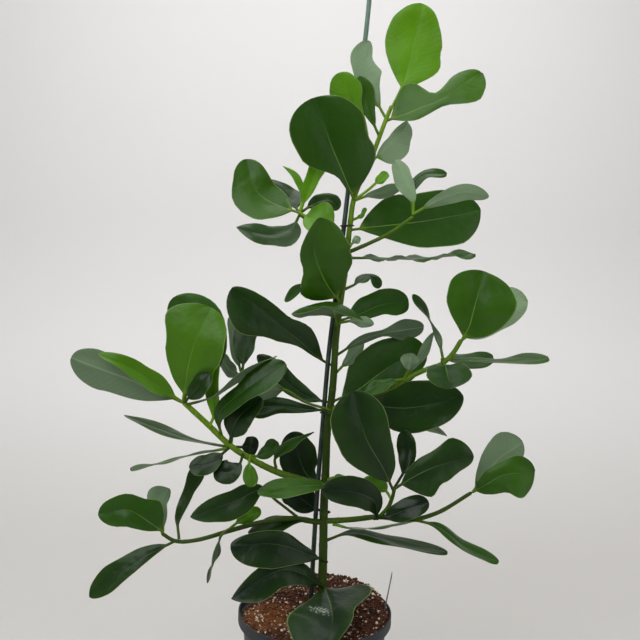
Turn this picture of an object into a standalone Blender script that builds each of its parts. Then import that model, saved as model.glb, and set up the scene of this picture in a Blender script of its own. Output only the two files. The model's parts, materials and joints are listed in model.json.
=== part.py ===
"""A potted clusia tied to a stake, one closed solid for each separate piece.

Metres, +Z up. The origin is the middle of the pot's foot, and the viewer looks along +Y.
"""

import math
import random
from dataclasses import dataclass, replace

import bmesh
import bpy
from mathutils import Vector

# Every driving size below is in millimetres or degrees, and the places of leaves are explained at EYE.
MM = 0.001
GAP = 0.3

# The pot
POT_HEIGHT = 175.0
POT_FOOT_RADIUS = 70.0
POT_MOUTH_RADIUS = 95.0
POT_WALL = 2.0
COLLAR_HEIGHT = 13.0
COLLAR_PROUD = 4.0
FLOOR_THICKNESS = 2.6
FLOOR_RECESS = 3.0
FLOOR_TOP = FLOOR_RECESS + FLOOR_THICKNESS
FLOOR_DISC_RADIUS = 34.0
FOOT_RING_WIDTH = 9.0
DRAIN_HOLES = 8
DRAIN_RADIUS = 4.5
DRAIN_CIRCLE = 47.5
DRAIN_SIDES = 8
POT_SEGMENTS = 32

# The soil, low at the front left and heaped at the back right
SOIL_LOW = 166.0
SOIL_HEAP = 21.0
SOIL_EDGE_DROP = 3.0
SOIL_ROUGHNESS = 1.6
SOIL_RINGS = 6

# The stake, its two ties and the blank plant label
STAKE_RADIUS = 3.0
TIE_RADIUS = 0.8
TIE_SLACK = 0.5
TIE_SIDES = 5
TIE_STEPS = 22
LABEL_WIDTH = 13.0
LABEL_THICKNESS = 0.9
LABEL_LENGTH = 95.0
LABEL_LEAN = 11.0
LABEL_FOOT = Vector((77.5, -8.0, 128.0))

# Blades and petioles
BLADE_THICKNESS = 0.9
PETIOLE_RADIUS = 1.7
BROAD_LEAF = 27.0
TINY_LEAF = 9.0
PETIOLE_STEP = 10.0
READ_AT = (0.2, 0.5, 0.8)
WAVE_LAG = 2.0
END_ON = 0.8
CURVE_STEPS = 12
FUSE_SOLVER = "EXACT"

# The places of stems are (across, up, depth). Across and up are read where the point lines up with the
# stem's own plane from the viewer's eye, and depth moves it along that line of sight. The places of
# leaves are read straight off the photograph, as (column, row, depth): its middle, its roll and the size
# that a pixel has on the stem's plane turn a column and a row into across and up.
EYE = Vector((-3.0, -820.0, 535.0))
PHOTO_MIDDLE = 320.0
PHOTO_ROLL = math.radians(1.5)
PIXEL = 1.25


@dataclass
class Leaf:
    """A blade on its petiole, from its root to its tip.

    Left and right are how far its two margins stand from the midrib, seen on the upper face with the tip
    up: near the base, in the middle and near the tip, or in the middle alone. The roll turns the upper
    face: 0 looks up, 90 looks at the viewer, and below 0 it looks away.
    """

    path: tuple
    left: tuple
    right: tuple
    roll: tuple = 80
    fold: float = 8.0
    cup: float = -10.0
    wave: float = 1.5
    waves: float = 1.4
    petiole: float = 12.0
    blunt: float = 0.5


@dataclass
class Shoot:
    """A round stem through its places, with its radius at the two ends."""

    path: tuple
    radii: tuple
    sides: int = 6
    spacing: float = 26.0


MAIN_STEM = Shoot(
    path=(
        (8, 60, 0), (8.5, 190, 0), (8.5, 250, 0), (8, 300, 0), (9, 350, 0), (10, 400, 0), (15, 450, 0),
        (17.5, 510, 0), (21, 550, 0), (27, 600, 0), (31, 650, 0), (36, 690, 0), (58, 745, 0), (72, 785, 0),
        (80, 806, 0),
    ),
    radii=(6.4, 2.6),
    sides=8,
)
STAKE = Shoot(
    path=(
        (-9, 40, 7), (-2, 290, 6.5), (3.5, 400, 6.5), (9.6, 500, 5.8), (15, 556, 5.5), (23.6, 650, 5),
        (36, 790, 5), (47, 920, 4), (50, 966, 4),
    ),
    radii=(STAKE_RADIUS, STAKE_RADIUS),
    sides=10,
    spacing=50.0,
)
TIE_HEIGHTS = (418.5, 654.0)

# Leaves that stand on the main stem, from the crown down
MAIN_LEAVES = (
    Leaf(
        ((390, 111, 0), (403, 84, 4), (413, 45, 8), (423, 3.5, 2)),
        (21, 35, 31), (32, 37, 26), 85, petiole=34,
    ),
    Leaf(
        ((386, 121, 0), (412, 111, -10), (442, 98, -22), (481, 72, -18)),
        (36, 12, 18), (13, 11, 30), (75, 60, 80), petiole=6, wave=2.5, waves=1.0,
    ),
    Leaf(
        ((385, 117, 0), (375, 98, -4), (366, 74, -5), (370, 41, -4)),
        (9, 20, 6), (9, 15, 20), (-70, -88), fold=-8, cup=0,
    ),
    Leaf(((379, 136, 0), (369, 112, -7), (364, 92, -9), (360, 76, -10)), (6, 9, 10), (7, 11, 12), 80),
    Leaf(
        ((373, 152, 0), (362, 128, -9), (353, 104, -13), (341, 72, -16)),
        (14, 21, 23), (7, 10, 18), 80, blunt=0.4,
    ),
    Leaf(
        ((354, 200, -3), (344, 176, -15), (332, 147, -28), (315, 97, -38)),
        (7, 40, 42), (41, 47, 46), 82, petiole=5, blunt=0.45,
    ),
    Leaf(
        ((370, 163, 1), (384, 150, 10), (396, 137, 18), (408, 122, 20)),
        (20, 27, 18), (6, 7, 7), -75, blunt=0.4,
    ),
    Leaf(((356, 199, -1), (368, 190, -5), (376, 183, -8), (388, 173, -10)), 7, 7, 70, petiole=30),
    Leaf(((356, 200, 2), (370, 195, 10), (385, 192, 15), (404, 187, 20)), 9, 9, -45),
    Leaf(
        ((350, 230, 2), (375, 227, 12), (420, 222, 25), (481, 210, 38)),
        (32, 39, 34), (17, 37, 38), 78, blunt=0.6,
    ),
    Leaf(
        ((349, 258, 2), (380, 258, 10), (420, 259, 5), (476, 254, -5)),
        22, 22, (14, 8, 14), wave=5, waves=2.6,
    ),
    Leaf(
        ((345, 289, 2), (358, 283, 12), (368, 276, 20), (381, 287, 24)),
        (7, 10, 9), (7, 10, 9), (-60, 20, 75),
    ),
    Leaf(
        ((339, 301, -2), (325, 281, -20), (314, 250, -40), (321, 217, -52)),
        (30, 18, 12), (34, 44, 42), 80, petiole=6, cup=-16,
    ),
    Leaf(((339, 299, -2), (318, 286, -16), (299, 288, -26), (285, 302, -32)), (3, 2.5, 6), (3, 2.5, 6), 70),
    Leaf(((340, 293, -2), (330, 286, -6), (322, 287, -9), (313, 292, -10)), 5, 5, 60),
    Leaf(
        ((337, 326, -2), (333, 306, -20), (327, 302, -40), (323, 306, -62)),
        (30, 46, 44), (30, 46, 44), 0, cup=-38, fold=-6,
    ),
    Leaf(
        ((339, 321, 1), (362, 313, 10), (384, 304, 20), (409, 303, 24)),
        (16, 19, 19), (8, 13, 18), 72, blunt=0.35,
    ),
    Leaf(((339, 323, -2), (352, 321, -8), (363, 322, -12), (374, 324, -14)), 7, 7, -70),
    Leaf(
        ((337, 355, 2), (358, 342, 12), (380, 334, 22), (424, 327, 35)),
        (6, 4, 15), (7, 5, 14), (-70, -60, -80), blunt=0.4,
    ),
    Leaf(
        (
            (334, 366, 2), (335, 366, 10), (329, 364, 17), (316, 356, 16), (296, 338, 4), (270, 318, -14),
            (231, 288, -28),
        ),
        (5, 20, 36), (20, 16, 15), 78, petiole=27,
    ),
    Leaf(((337, 372, 3), (350, 358, 22), (364, 342, 42)), 11, 11, -65),
    Leaf(
        ((334, 401, 2), (356, 391, 18), (386, 369, 30), (425, 347, 34)),
        (27, 37, 30), (18, 27, 27), 82, blunt=0.45,
    ),
    Leaf(
        ((332, 402, 2), (334, 402, 10), (327, 402, 17), (306, 396, 18), (286, 381, 20), (257, 355, 16)),
        (9, 13, 12), (11, 13, 13), 65, wave=3, petiole=27,
    ),
    Leaf(((331, 411, -2), (308, 409, 0), (278, 406, 2), (242, 408, 4)), (6, 9, 16), (6, 11, 14), 65),
    Leaf(((331, 410, -3), (305, 402, -3), (281, 389, -1), (232, 405, 5)), 21, 21, -60, petiole=64),
    Leaf(
        ((329, 484, -4), (324, 485, -18), (304, 486, -36), (257, 493, -44)),
        (10, 15, 15), (10, 15, 15), 28,
    ),
    Leaf(((326, 480, -2), (338, 477, -10), (349, 481, -12)), 5, 5, 40),
    Leaf(
        ((329, 484, 2), (331, 484, 9), (324, 482, 15), (308, 476, 18), (299, 458, 18), (291, 432, 18)),
        (20, 25, 19), (17, 24, 20), 75, petiole=27,
    ),
    Leaf(
        ((328, 512, 2), (329, 512, 9), (322, 511, 15), (309, 505, 18), (286, 484, 18)),
        (12, 17, 18), (14, 19, 18), 70, petiole=26,
    ),
    Leaf(
        ((327, 562, -3), (303, 552, -18), (275, 544, -32), (230, 546, -38)),
        (13, 27, 25), (8, 16, 13), 72, wave=2.5,
    ),
    Leaf(
        ((326, 590, -3), (303, 574, -22), (280, 570, -35), (231, 599, -45)),
        (12, 20, 20), (11, 13, 10), 60, blunt=0.85,
    ),
    Leaf(
        ((324, 587, -4), (330, 603, -45), (332, 625, -88), (318, 664, -122)),
        (48, 25, 13), (20, 42, 47), 0, petiole=4, cup=8,
    ),
    Leaf(((327, 540, -2), (350, 533, -8), (390, 541, -14), (448, 553, -20)), 15, 15, 10),
    Leaf(((352, 220, 1), (361, 216, 2), (366, 208, 3)), 3.5, 3.5, 60, petiole=6),
    Leaf(((349, 246, -1), (354, 242, -4), (360, 237, -6)), 5, 5, -70, petiole=5),
)

UPPER_RIGHT_SHOOT = Shoot(((29, 620, 0), (55, 632, -6), (80, 645, -12), (111, 668, -18)), (2.6, 2.0))
UPPER_RIGHT_LEAVES = (
    Leaf(
        ((413, 215, -18), (413, 198, -20), (406, 182, -18), (395, 160, -14)),
        (5, 9, 10), (8, 13, 10), -75,
    ),
    Leaf(
        ((413, 215, -18), (412, 190, -14), (424, 175, -10), (447, 174, -6)),
        (5, 8, 8), (5, 8, 8), 55, petiole=20,
    ),
    Leaf(((413, 214, -18), (440, 200, -24), (465, 192, -26), (489, 197, -28)), (7, 11, 9), (7, 10, 9), -60),
)

UPPER_LEFT_SHOOT = Shoot(((30, 630, 0), (14, 636, -5), (-8, 650, -8), (-33, 667, -4)), (2.6, 2.2))
UPPER_LEFT_LEAVES = (
    Leaf(((300, 213, -4), (278, 205, 12), (257, 192, 20), (245, 159, 24)), (24, 33, 21), (18, 24, 22), 76),
    Leaf(((300, 213, -4), (289, 200, 20), (277, 192, 30), (261, 181, 34)), (7, 10, 9), (17, 18, 14), 68),
    Leaf(
        ((300, 214, -4), (290, 230, -14), (268, 235, -18), (236, 227, -20)),
        (20, 15, 12), (10, 13, 12), 60, blunt=0.8,
    ),
    Leaf(((300, 213, -4), (302, 193, 10), (296, 178, 14), (283, 166, 16)), 5, 5, 60, fold=20),
    Leaf(
        ((300, 213, -4), (307, 193, -9), (314, 175, -10), (322, 156, -10)),
        (6, 9, 9), (7, 11, 14), 75, fold=25,
    ),
    Leaf(((300, 213, -4), (314, 204, 4), (327, 200, 8), (340, 208, 8)), (7, 11, 11), (8, 13, 13), 65),
    Leaf(
        ((300, 213, -4), (308, 217, -16), (318, 220, -22), (334, 223, -24)),
        (12, 23, 22), (14, 22, 18), 75, cup=22,
    ),
)

RIGHT_SHOOT = Shoot(
    (
        (13, 424, 0), (28, 428, -5), (60, 441, -10), (88, 453, -14), (110, 466, -16), (130, 476, -18),
        (152, 485, -20), (165, 499, -23), (175, 516, -26),
    ),
    (3.6, 2.8),
)
RIGHT_LEAVES = (
    Leaf(
        ((462, 340, -26), (469, 326, -30), (475, 305, -34), (484, 271, -30)),
        (20, 35, 33), (31, 46, 40), 85, petiole=4, wave=2,
    ),
    Leaf(
        ((462, 340, -26), (482, 326, -12), (503, 311, 0), (528, 303, 8)),
        (14, 20, 21), (18, 28, 27), -75, petiole=6,
    ),
    Leaf(
        ((442, 359, -20), (475, 360, -16), (515, 361, -10), (549, 358, -6)),
        (9, 17, 19), (9, 17, 19), (6, 7, 17),
    ),
    Leaf(((442, 359, -18), (462, 361, 15), (477, 361, 32), (493, 356, 45)), 15, 15, 40),
    Leaf(((442, 361, -20), (446, 369, -38), (450, 389, -52)), (20, 28, 24), (20, 28, 24), 85, fold=22),
    Leaf(((443, 359, -18), (439, 341, -6), (431, 322, 0), (413, 294, 8)), 10, 10, (-70, 0, 75)),
    Leaf(((404, 380, -14), (424, 352, 8), (434, 332, 16)), 7, 7, -60),
    Leaf(
        ((350, 403, -8), (378, 406, 4), (408, 408, 8), (464, 397, 0)),
        (19, 34, 27), (17, 32, 26), 80, petiole=6, blunt=0.6,
    ),
    Leaf(((405, 379, -16), (393, 381, -24), (380, 386, -28), (364, 394, -30)), 9, 9, 50),
    Leaf(((404, 379, -16), (408, 370, -20), (411, 353, -22)), 12, 12, -65),
    Leaf(((362, 399, -8), (405, 417, 22), (447, 436, 34)), 9, 9, -35, petiole=60),
)

LOW_RIGHT_SHOOT = Shoot(
    (
        (8.5, 284, 0), (24, 285, -4), (45, 287, -8), (78, 291, -14), (115, 288, -18), (150, 298, -16),
        (193, 325, -10),
    ),
    (3.6, 2.2),
)
LOW_RIGHT_TWIG = Shoot(((78, 291, -14), (88, 303, -20), (93, 315, -26), (96, 329, -32)), (2.6, 2.2))
LOW_RIGHT_LEAVES = (
    Leaf(
        ((393, 490, -31), (383, 468, -42), (366, 438, -50), (353, 391, -48)),
        (19, 34, 34), (18, 30, 29), 82,
    ),
    Leaf(
        ((393, 490, -31), (413, 477, -36), (437, 466, -36), (474, 457, -28)),
        (12, 18, 27), (27, 21, 12), 78, wave=2,
    ),
    Leaf(((391, 499, -26), (386, 491, -16), (377, 485, -10), (362, 480, -6)), (9, 12, 8), (9, 12, 8), 60),
    Leaf(
        ((374, 519, -14), (392, 515, -24), (410, 508, -30), (429, 502, -32)),
        (9, 13, 12), (9, 13, 12), 65, petiole=14,
    ),
    Leaf(
        ((393, 490, -31), (406, 467, -18), (409, 450, -12), (404, 430, -8)),
        (9, 14, 13), (6, 9, 9), 75, petiole=22,
    ),
    Leaf(
        ((377, 519, -14), (374, 501, -28), (357, 493, -34), (322, 489, -34)),
        (13, 16, 15), (11, 19, 16), 75, petiole=6,
    ),
    Leaf(
        ((473, 492, -10), (484, 476, 0), (500, 457, 6), (523, 442, 8)),
        (14, 23, 28), (13, 23, 26), -75, petiole=6,
    ),
    Leaf(
        ((473, 492, -10), (487, 484, -24), (503, 475, -30), (535, 472, -26)),
        (10, 15, 20), (13, 22, 28), 75, petiole=4, wave=3,
    ),
    Leaf(((404, 518, -17), (436, 526, -14), (466, 547, -8), (499, 562, 0)), 12, 12, 25, petiole=26),
    Leaf(((333, 524, -4), (350, 528, -14), (380, 528, -18), (416, 521, -20)), 12, 12, -22),
)

LEFT_SHOOT = Shoot(
    (
        (9, 329, 0), (-5, 331, -7), (-25, 336, -13), (-50, 343, -20), (-90, 362, -32), (-112, 376, -38),
        (-140, 401, -46), (-172, 429, -54),
    ),
    (4.4, 3.2),
)
LEFT_TWIG = Shoot(((-111, 376, -38), (-106, 420, -24), (-98, 468, -18)), (2.6, 2.2))
LEFT_LEAVES = (
    Leaf(
        ((184, 403, -54), (150, 388, -62), (112, 373, -66), (71, 357, -62)),
        (15, 18, 20), (15, 23, 25), -78,
    ),
    Leaf(
        ((184, 403, -54), (158, 386, -68), (133, 369, -76), (98, 354, -78)),
        (9, 10, 5), (11, 11, 9), 68, fold=20,
    ),
    Leaf(
        ((183, 402, -54), (188, 368, -66), (196, 338, -72), (211, 307, -66)),
        (18, 32, 42), (22, 36, 31), 82, petiole=10, wave=1,
    ),
    Leaf(
        ((183, 402, -54), (199, 364, -38), (198, 332, -34), (175, 296, -32)),
        (15, 28, 27), (20, 34, 31), 80,
    ),
    Leaf(((184, 403, -54), (191, 395, -66), (200, 385, -74), (210, 373, -76)), 13, 13, 65),
    Leaf(
        ((209, 428, -46), (215, 411, -52), (213, 390, -54), (217, 361, -54)),
        (6, 10, 7), (6, 10, 8), 75, fold=30,
    ),
    Leaf(((186, 405, -54), (215, 396, -64), (243, 375, -68), (277, 356, -64)), 16, 16, -12),
    Leaf(
        ((222, 438, -40), (219, 415, -58), (240, 394, -74), (286, 363, -76)),
        (8, 12, 18), (9, 13, 17), 58,
    ),
    Leaf(
        ((229, 445, -38), (233, 429, -50), (241, 415, -58), (262, 398, -54)),
        (14, 19, 12), (14, 18, 12), 65,
    ),
    Leaf(
        ((242, 375, -18), (244, 358, -12), (247, 343, 0), (251, 320, 14)),
        (11, 19, 18), (10, 12, 15), 75, fold=18,
    ),
    Leaf(((242, 375, -18), (233, 372, 0), (226, 365, 8), (221, 354, 12)), 11, 11, -68),
    Leaf(((242, 375, -18), (236, 354, 4), (233, 336, 12), (230, 317, 14)), 8, 8, -65),
    Leaf(((230, 447, -38), (218, 457, -48), (206, 463, -52), (189, 466, -52)), (9, 14, 13), (8, 10, 9), 62),
    Leaf(((229, 448, -38), (197, 454, -34), (162, 463, -30), (130, 470, -30)), 15, 15, (-18, -4, -22)),
    Leaf(((229, 447, -38), (192, 440, -20), (155, 427, -8), (124, 415, 0)), 13, 13, (9, 5, 12)),
    Leaf(((243, 454, -36), (239, 465, -46), (229, 472, -48), (214, 469, -46)), 14, 14, 70),
    Leaf(((250, 456, -32), (249, 466, -44), (250, 475, -48), (252, 487, -50)), 9, 9, 70),
    Leaf(((236, 447, -36), (243, 447, -24), (249, 446, -16), (258, 448, -12)), 12, 12, 75, blunt=0.4),
    Leaf(
        ((246, 455, -32), (258, 456, -28), (267, 451, -26), (277, 441, -28)),
        (5, 8, 9), (6, 9, 9), 70, blunt=0.4,
    ),
    Leaf(
        ((276, 468, -21), (275, 459, -28), (286, 447, -36), (314, 432, -44)),
        (5, 6, 2.5), (5, 9, 2.5), 65, blunt=0.9, fold=30,
    ),
)

LOW_LEFT_SHOOT = Shoot(
    (
        (8.5, 283, 0), (-3, 283, -4), (-30, 286, -8), (-75, 279, -10), (-105, 270, -11), (-150, 256, -14),
        (-176, 254, -16), (-195, 264, -18),
    ),
    (3.6, 2.2),
)
LOW_LEFT_LEAVES = (
    Leaf(
        ((163, 532, -18), (149, 522, -24), (128, 510, -28), (98, 513, -26)),
        (11, 19, 18), (24, 19, 14), 78, petiole=3,
    ),
    Leaf(
        ((163, 532, -18), (163, 514, -8), (162, 502, -2), (169, 488, 2)),
        (4, 6, 7), (8, 14, 20), -75, petiole=4,
    ),
    Leaf(
        ((177, 540, -16), (148, 555, -22), (118, 575, -26), (89, 596, -24)),
        (6, 10, 13), (11, 16, 16), 62,
    ),
    Leaf(((179, 539, -15), (178, 520, -4), (187, 495, 4), (204, 460, 6)), (5, 8, 11), (5, 8, 11), 70),
    Leaf(((228, 530, -11), (221, 536, -22), (216, 555, -24), (207, 583, -22)), 8, 8, (60, -30, 45)),
    Leaf(((228, 530, -11), (238, 522, -4), (248, 516, 2), (261, 510, 8)), 9, 9, 65),
    Leaf(((316, 521, -5), (298, 520, -10), (275, 525, -6), (248, 532, 0)), 13, 13, 32),
    Leaf(
        ((300, 519, -8), (278, 502, -8), (261, 490, -14), (236, 501, -26), (190, 517, -32)),
        (13, 20, 13), (12, 14, 11), 74, petiole=54, blunt=0.8,
    ),
)

# Finishes: colour, roughness
POT_FINISH = ((0.035, 0.037, 0.04), 0.55)
SOIL_FINISH = ((0.035, 0.016, 0.01), 0.95)
STAKE_FINISH = ((0.03, 0.07, 0.05), 0.5)
TIE_FINISH = ((0.01, 0.015, 0.01), 0.5)
LABEL_FINISH = ((0.06, 0.065, 0.07), 0.4)
LEAF_FINISH = ((0.045, 0.12, 0.025), 0.35)


def clear_scene():
    for thing in list(bpy.data.objects):
        bpy.data.objects.remove(thing, do_unlink=True)


def make_material(name, finish):
    colour, roughness = finish
    material = bpy.data.materials.new(name)
    material.use_nodes = True
    shader = material.node_tree.nodes["Principled BSDF"]
    shader.inputs["Base Color"].default_value = (*colour, 1.0)
    shader.inputs["Roughness"].default_value = roughness
    shader.inputs["Metallic"].default_value = 0.0
    return material


def from_photo(place):
    """The (across, up, depth) of a place that is read off the photograph as (column, row, depth)."""
    column, row, depth = place
    right, high = column - PHOTO_MIDDLE, PHOTO_MIDDLE - row
    across = right * math.cos(PHOTO_ROLL) - high * math.sin(PHOTO_ROLL)
    up = right * math.sin(PHOTO_ROLL) + high * math.cos(PHOTO_ROLL)
    return EYE.x + PIXEL * across, EYE.z + PIXEL * up, depth


def real_place(place):
    """The point in millimetres of a place given as (across, up, depth)."""
    across, up, depth = place
    reach = (depth - EYE.y) / -EYE.y
    return Vector((EYE.x + (across - EYE.x) * reach, depth, EYE.z + (up - EYE.z) * reach))


def smooth_curve(places):
    """A function of 0 to 1 that runs evenly along the smooth curve through the places, and its length."""
    ends = [real_place(place) for place in places]
    knots = [2 * ends[0] - ends[1], *ends, 2 * ends[-1] - ends[-2]]
    fine = []
    for i in range(1, len(knots) - 2):
        before, start, stop, after = knots[i - 1 : i + 3]
        first, own, last = ((b - a).length ** 0.5 for a, b in zip(knots[i - 1 :], knots[i : i + 3]))
        leave = own * ((start - before) / first - (stop - before) / (first + own)) + stop - start
        arrive = own * ((after - stop) / last - (after - start) / (own + last)) + stop - start
        for step in range(CURVE_STEPS):
            s = step / CURVE_STEPS
            shape = (2 * s**3 - 3 * s**2 + 1) * start + (3 * s**2 - 2 * s**3) * stop
            fine.append(shape + (s**3 - 2 * s**2 + s) * leave + (s**3 - s**2) * arrive)
    fine.append(ends[-1])
    lengths = [0.0]
    for first, second in zip(fine, fine[1:]):
        lengths.append(lengths[-1] + (second - first).length)

    def at(t):
        want = min(max(t, 0.0), 1.0) * lengths[-1]
        for i in range(1, len(lengths)):
            if lengths[i] >= want:
                break
        part = (want - lengths[i - 1]) / (lengths[i] - lengths[i - 1])
        return fine[i - 1].lerp(fine[i], part)

    return at, lengths[-1]


def along(at, t):
    """The direction of a curve at t."""
    return (at(t + 0.01) - at(t - 0.01)).normalized()


def object_from(name, points, faces, material):
    mesh = bpy.data.meshes.new(name)
    mesh.from_pydata([point * MM for point in points], [], faces)
    mesh.validate()
    mesh.materials.append(material)
    made = bpy.data.objects.new(name, mesh)
    bpy.context.scene.collection.objects.link(made)
    return made


def bridged(rings):
    """The faces of a closed skin through rings of equal size.

    The sides of the second half of a ring are split along the other diagonal, so a blade, whose rings run
    out along its upper face and back along its lower one, is split alike on both.
    """
    size = len(rings[0])
    faces = []
    for r in range(len(rings) - 1):
        for i in range(size):
            here, there = r * size + i, (r + 1) * size + i
            right = r * size + (i + 1) % size
            right_there = (r + 1) * size + (i + 1) % size
            if i < size // 2:
                faces.append((here, right, right_there))
                faces.append((here, right_there, there))
            else:
                faces.append((here, right, there))
                faces.append((right, right_there, there))
    last = (len(rings) - 1) * size
    faces.append(tuple(reversed(range(size))))
    faces.append(tuple(range(last, last + size)))
    return faces


def tube(at, stations, radius_at, sides):
    """Rings of points round a curve, carried along it without twisting."""
    side = along(at, 0.0).orthogonal().normalized()
    rings = []
    for t in stations:
        ahead = along(at, t)
        side = (side - ahead * side.dot(ahead)).normalized()
        third = ahead.cross(side)
        ring = []
        for i in range(sides):
            turn = math.tau * i / sides
            ring.append(at(t) + radius_at(t) * (math.cos(turn) * side + math.sin(turn) * third))
        rings.append(ring)
    return rings


def shoot_object(name, shoot, material, swell=0.0):
    at, length = smooth_curve(shoot.path)
    count = max(2, round(length / shoot.spacing))
    stations = [i / count for i in range(count + 1)]
    start, stop = shoot.radii
    rings = tube(at, stations, lambda t: start + (stop - start) * t + swell, shoot.sides)
    points = [point for ring in rings for point in ring]
    return object_from(name, points, bridged(rings), material)


def smoothstep(low, high, value):
    share = min(max((value - low) / (high - low), 0.0), 1.0)
    return share * share * (3 - 2 * share)


def between(values, t):
    """One value, or two or three that are spread evenly over 0 to 1."""
    if not isinstance(values, tuple):
        return values
    span = min(max(t, 0.0), 1.0) * (len(values) - 1)
    first = min(int(span), len(values) - 2)
    ease = span - first
    ease = ease * ease * (3 - 2 * ease)
    return values[first] + (values[first + 1] - values[first]) * ease


def end_rounding(u, blunt):
    """How much of a margin's reach is left at u, where the blade rounds off to its base and its tip."""
    return (1 - (1 - u) ** 3) ** 0.9 * (1 - u**4) ** blunt


def margin_reach(side, u, blunt):
    """How far a margin stands from the midrib at u, from 0 at the blade's base to 1 at its tip."""
    if u <= 0:
        return 0.0
    near, middle, far = READ_AT
    if isinstance(side, tuple):
        full = tuple(reach / end_rounding(where, blunt) for reach, where in zip(side, READ_AT))
    else:
        full = side / end_rounding(middle, blunt)
    return between(full, (u - near) / (far - near)) * end_rounding(u, blunt)


def leaf_curve(leaf):
    return smooth_curve([from_photo(place) for place in leaf.path])


def leaf_axes(at):
    """The direction that a leaf's upper face has at roll 0, and at roll 90."""
    chord = (at(1.0) - at(0.0)).normalized()
    viewer, up = Vector((0, -1, 0)), Vector((0, 0, 1))
    if abs(chord.y) > END_ON:
        level = (up - chord * up.dot(chord)).normalized()
        return level, level.cross(chord)
    facing = (viewer - chord * viewer.dot(chord)).normalized()
    level = facing.cross(chord)
    return level if level.z > 0 else -level, facing


def leaf_facings(leaf, at, cuts):
    """The way the upper face looks at each cut. Back along the petiole it is carried without twisting."""
    axes = leaf_axes(at)
    facings = []
    for t, u in reversed(cuts):
        ahead = along(at, t)
        if u > 0:
            roll = math.radians(between(leaf.roll, t))
            face = axes[0] * math.cos(roll) + axes[1] * math.sin(roll)
        face = (face - ahead * face.dot(ahead)).normalized()
        facings.append(face)
    return facings[::-1]


def leaf_section(leaf, at, t, u, face, across):
    """The upper and lower points of one cut across a leaf, from its left margin to its right."""
    side = along(at, t).cross(face)
    stalk = PETIOLE_RADIUS * (1 - 0.6 * max(u, 0.0))
    reaches = [max(margin_reach(reach, u, leaf.blunt), stalk) for reach in (leaf.left, leaf.right)]
    opened = smoothstep(0.0, 0.15, u)
    thick = BLADE_THICKNESS + (2 * PETIOLE_RADIUS - BLADE_THICKNESS) * (1 - opened)
    upper, lower = [], []
    for i in range(across):
        v = 2 * i / (across - 1) - 1
        sign = 1 if v > 0 else -1 if v < 0 else 0
        half = reaches[1] if v > 0 else reaches[0]
        fold = math.radians(leaf.fold) * opened
        cup = math.radians(leaf.cup) * opened
        tilt = fold + cup * abs(v)
        mean = fold + cup * abs(v) / 2
        run = half * v * math.cos(mean)
        rise = half * abs(v) * math.sin(mean)
        rise += leaf.wave * v * v * opened * math.sin(math.tau * leaf.waves * u + WAVE_LAG * max(sign, 0))
        middle = at(t) + side * run + face * rise
        out = face * math.cos(tilt) - side * math.sin(tilt) * sign
        upper.append(middle + out * thick / 2)
        lower.append(middle - out * thick / 2)
    return upper, lower


def leaf_object(name, leaf, material):
    at, length = leaf_curve(leaf)
    stalk = leaf.petiole / length
    broadest = max(max(side) if isinstance(side, tuple) else side for side in (leaf.left, leaf.right))
    if broadest >= BROAD_LEAF:
        across, shares = 5, (0.1, 0.32, 0.57, 0.8, 0.94, 0.995)
    elif broadest >= TINY_LEAF:
        across, shares = 3, (0.14, 0.42, 0.74, 0.93, 0.995)
    else:
        across, shares = 3, (0.2, 0.6, 0.985)
    steps = max(1, round(leaf.petiole / PETIOLE_STEP))
    cuts = [(stalk * i / steps, 0.0) for i in range(steps + 1)]
    cuts += [(stalk + (1 - stalk) * u, u) for u in shares]
    rings = []
    for (t, u), face in zip(cuts, leaf_facings(leaf, at, cuts)):
        upper, lower = leaf_section(leaf, at, t, u, face, across)
        rings.append(upper + lower[::-1])
    points = [point for ring in rings for point in ring]
    return object_from(name, points, bridged(rings), material)


def facing_out(thing):
    """Turns the faces of a closed mesh outwards."""
    shape = bmesh.new()
    shape.from_mesh(thing.data)
    bmesh.ops.recalc_face_normals(shape, faces=shape.faces)
    if shape.calc_volume(signed=True) < 0:
        bmesh.ops.reverse_faces(shape, faces=shape.faces)
    bmesh.ops.triangulate(shape, faces=[face for face in shape.faces if len(face.verts) > 3])
    shape.to_mesh(thing.data)
    shape.free()
    return thing


def apply_boolean(thing, others, operation, solver="EXACT"):
    """Joins or cuts with the other objects in one Boolean, applies it and removes them."""
    group = bpy.data.collections.new("others")
    bpy.context.scene.collection.children.link(group)
    for other in others:
        bpy.context.scene.collection.objects.unlink(other)
        group.objects.link(other)
    change = thing.modifiers.new("fuse", "BOOLEAN")
    change.operation = operation
    change.operand_type = "COLLECTION"
    change.collection = group
    change.solver = solver
    bpy.context.view_layer.update()
    graph = bpy.context.evaluated_depsgraph_get()
    fused = bpy.data.meshes.new_from_object(thing.evaluated_get(graph))
    thing.modifiers.clear()
    thing.data = fused
    for other in others:
        bpy.data.objects.remove(other, do_unlink=True)
    bpy.data.collections.remove(group)
    return thing


def shade(thing, angle=40.0):
    thing.data.shade_smooth()
    thing.data.set_sharp_from_angle(angle=math.radians(angle))
    return thing


def leafy_stem(name, shoots, leaves, root_clearance=True):
    """A stem with its twigs and leaves fused into one solid, cut clear of the main stem at its foot."""
    material = make_material(name, LEAF_FINISH)
    stem = facing_out(shoot_object(name, shoots[0], material))
    grown = [facing_out(shoot_object(f"{name}_twig", twig, material)) for twig in shoots[1:]]
    grown += [facing_out(leaf_object(f"{name}_leaf", leaf, material)) for leaf in leaves]
    apply_boolean(stem, grown, "UNION", FUSE_SOLVER)
    if root_clearance:
        cutter = facing_out(shoot_object("clearance", MAIN_STEM, material, swell=GAP))
        apply_boolean(stem, [cutter], "DIFFERENCE", FUSE_SOLVER)
    return shade(stem)


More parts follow.
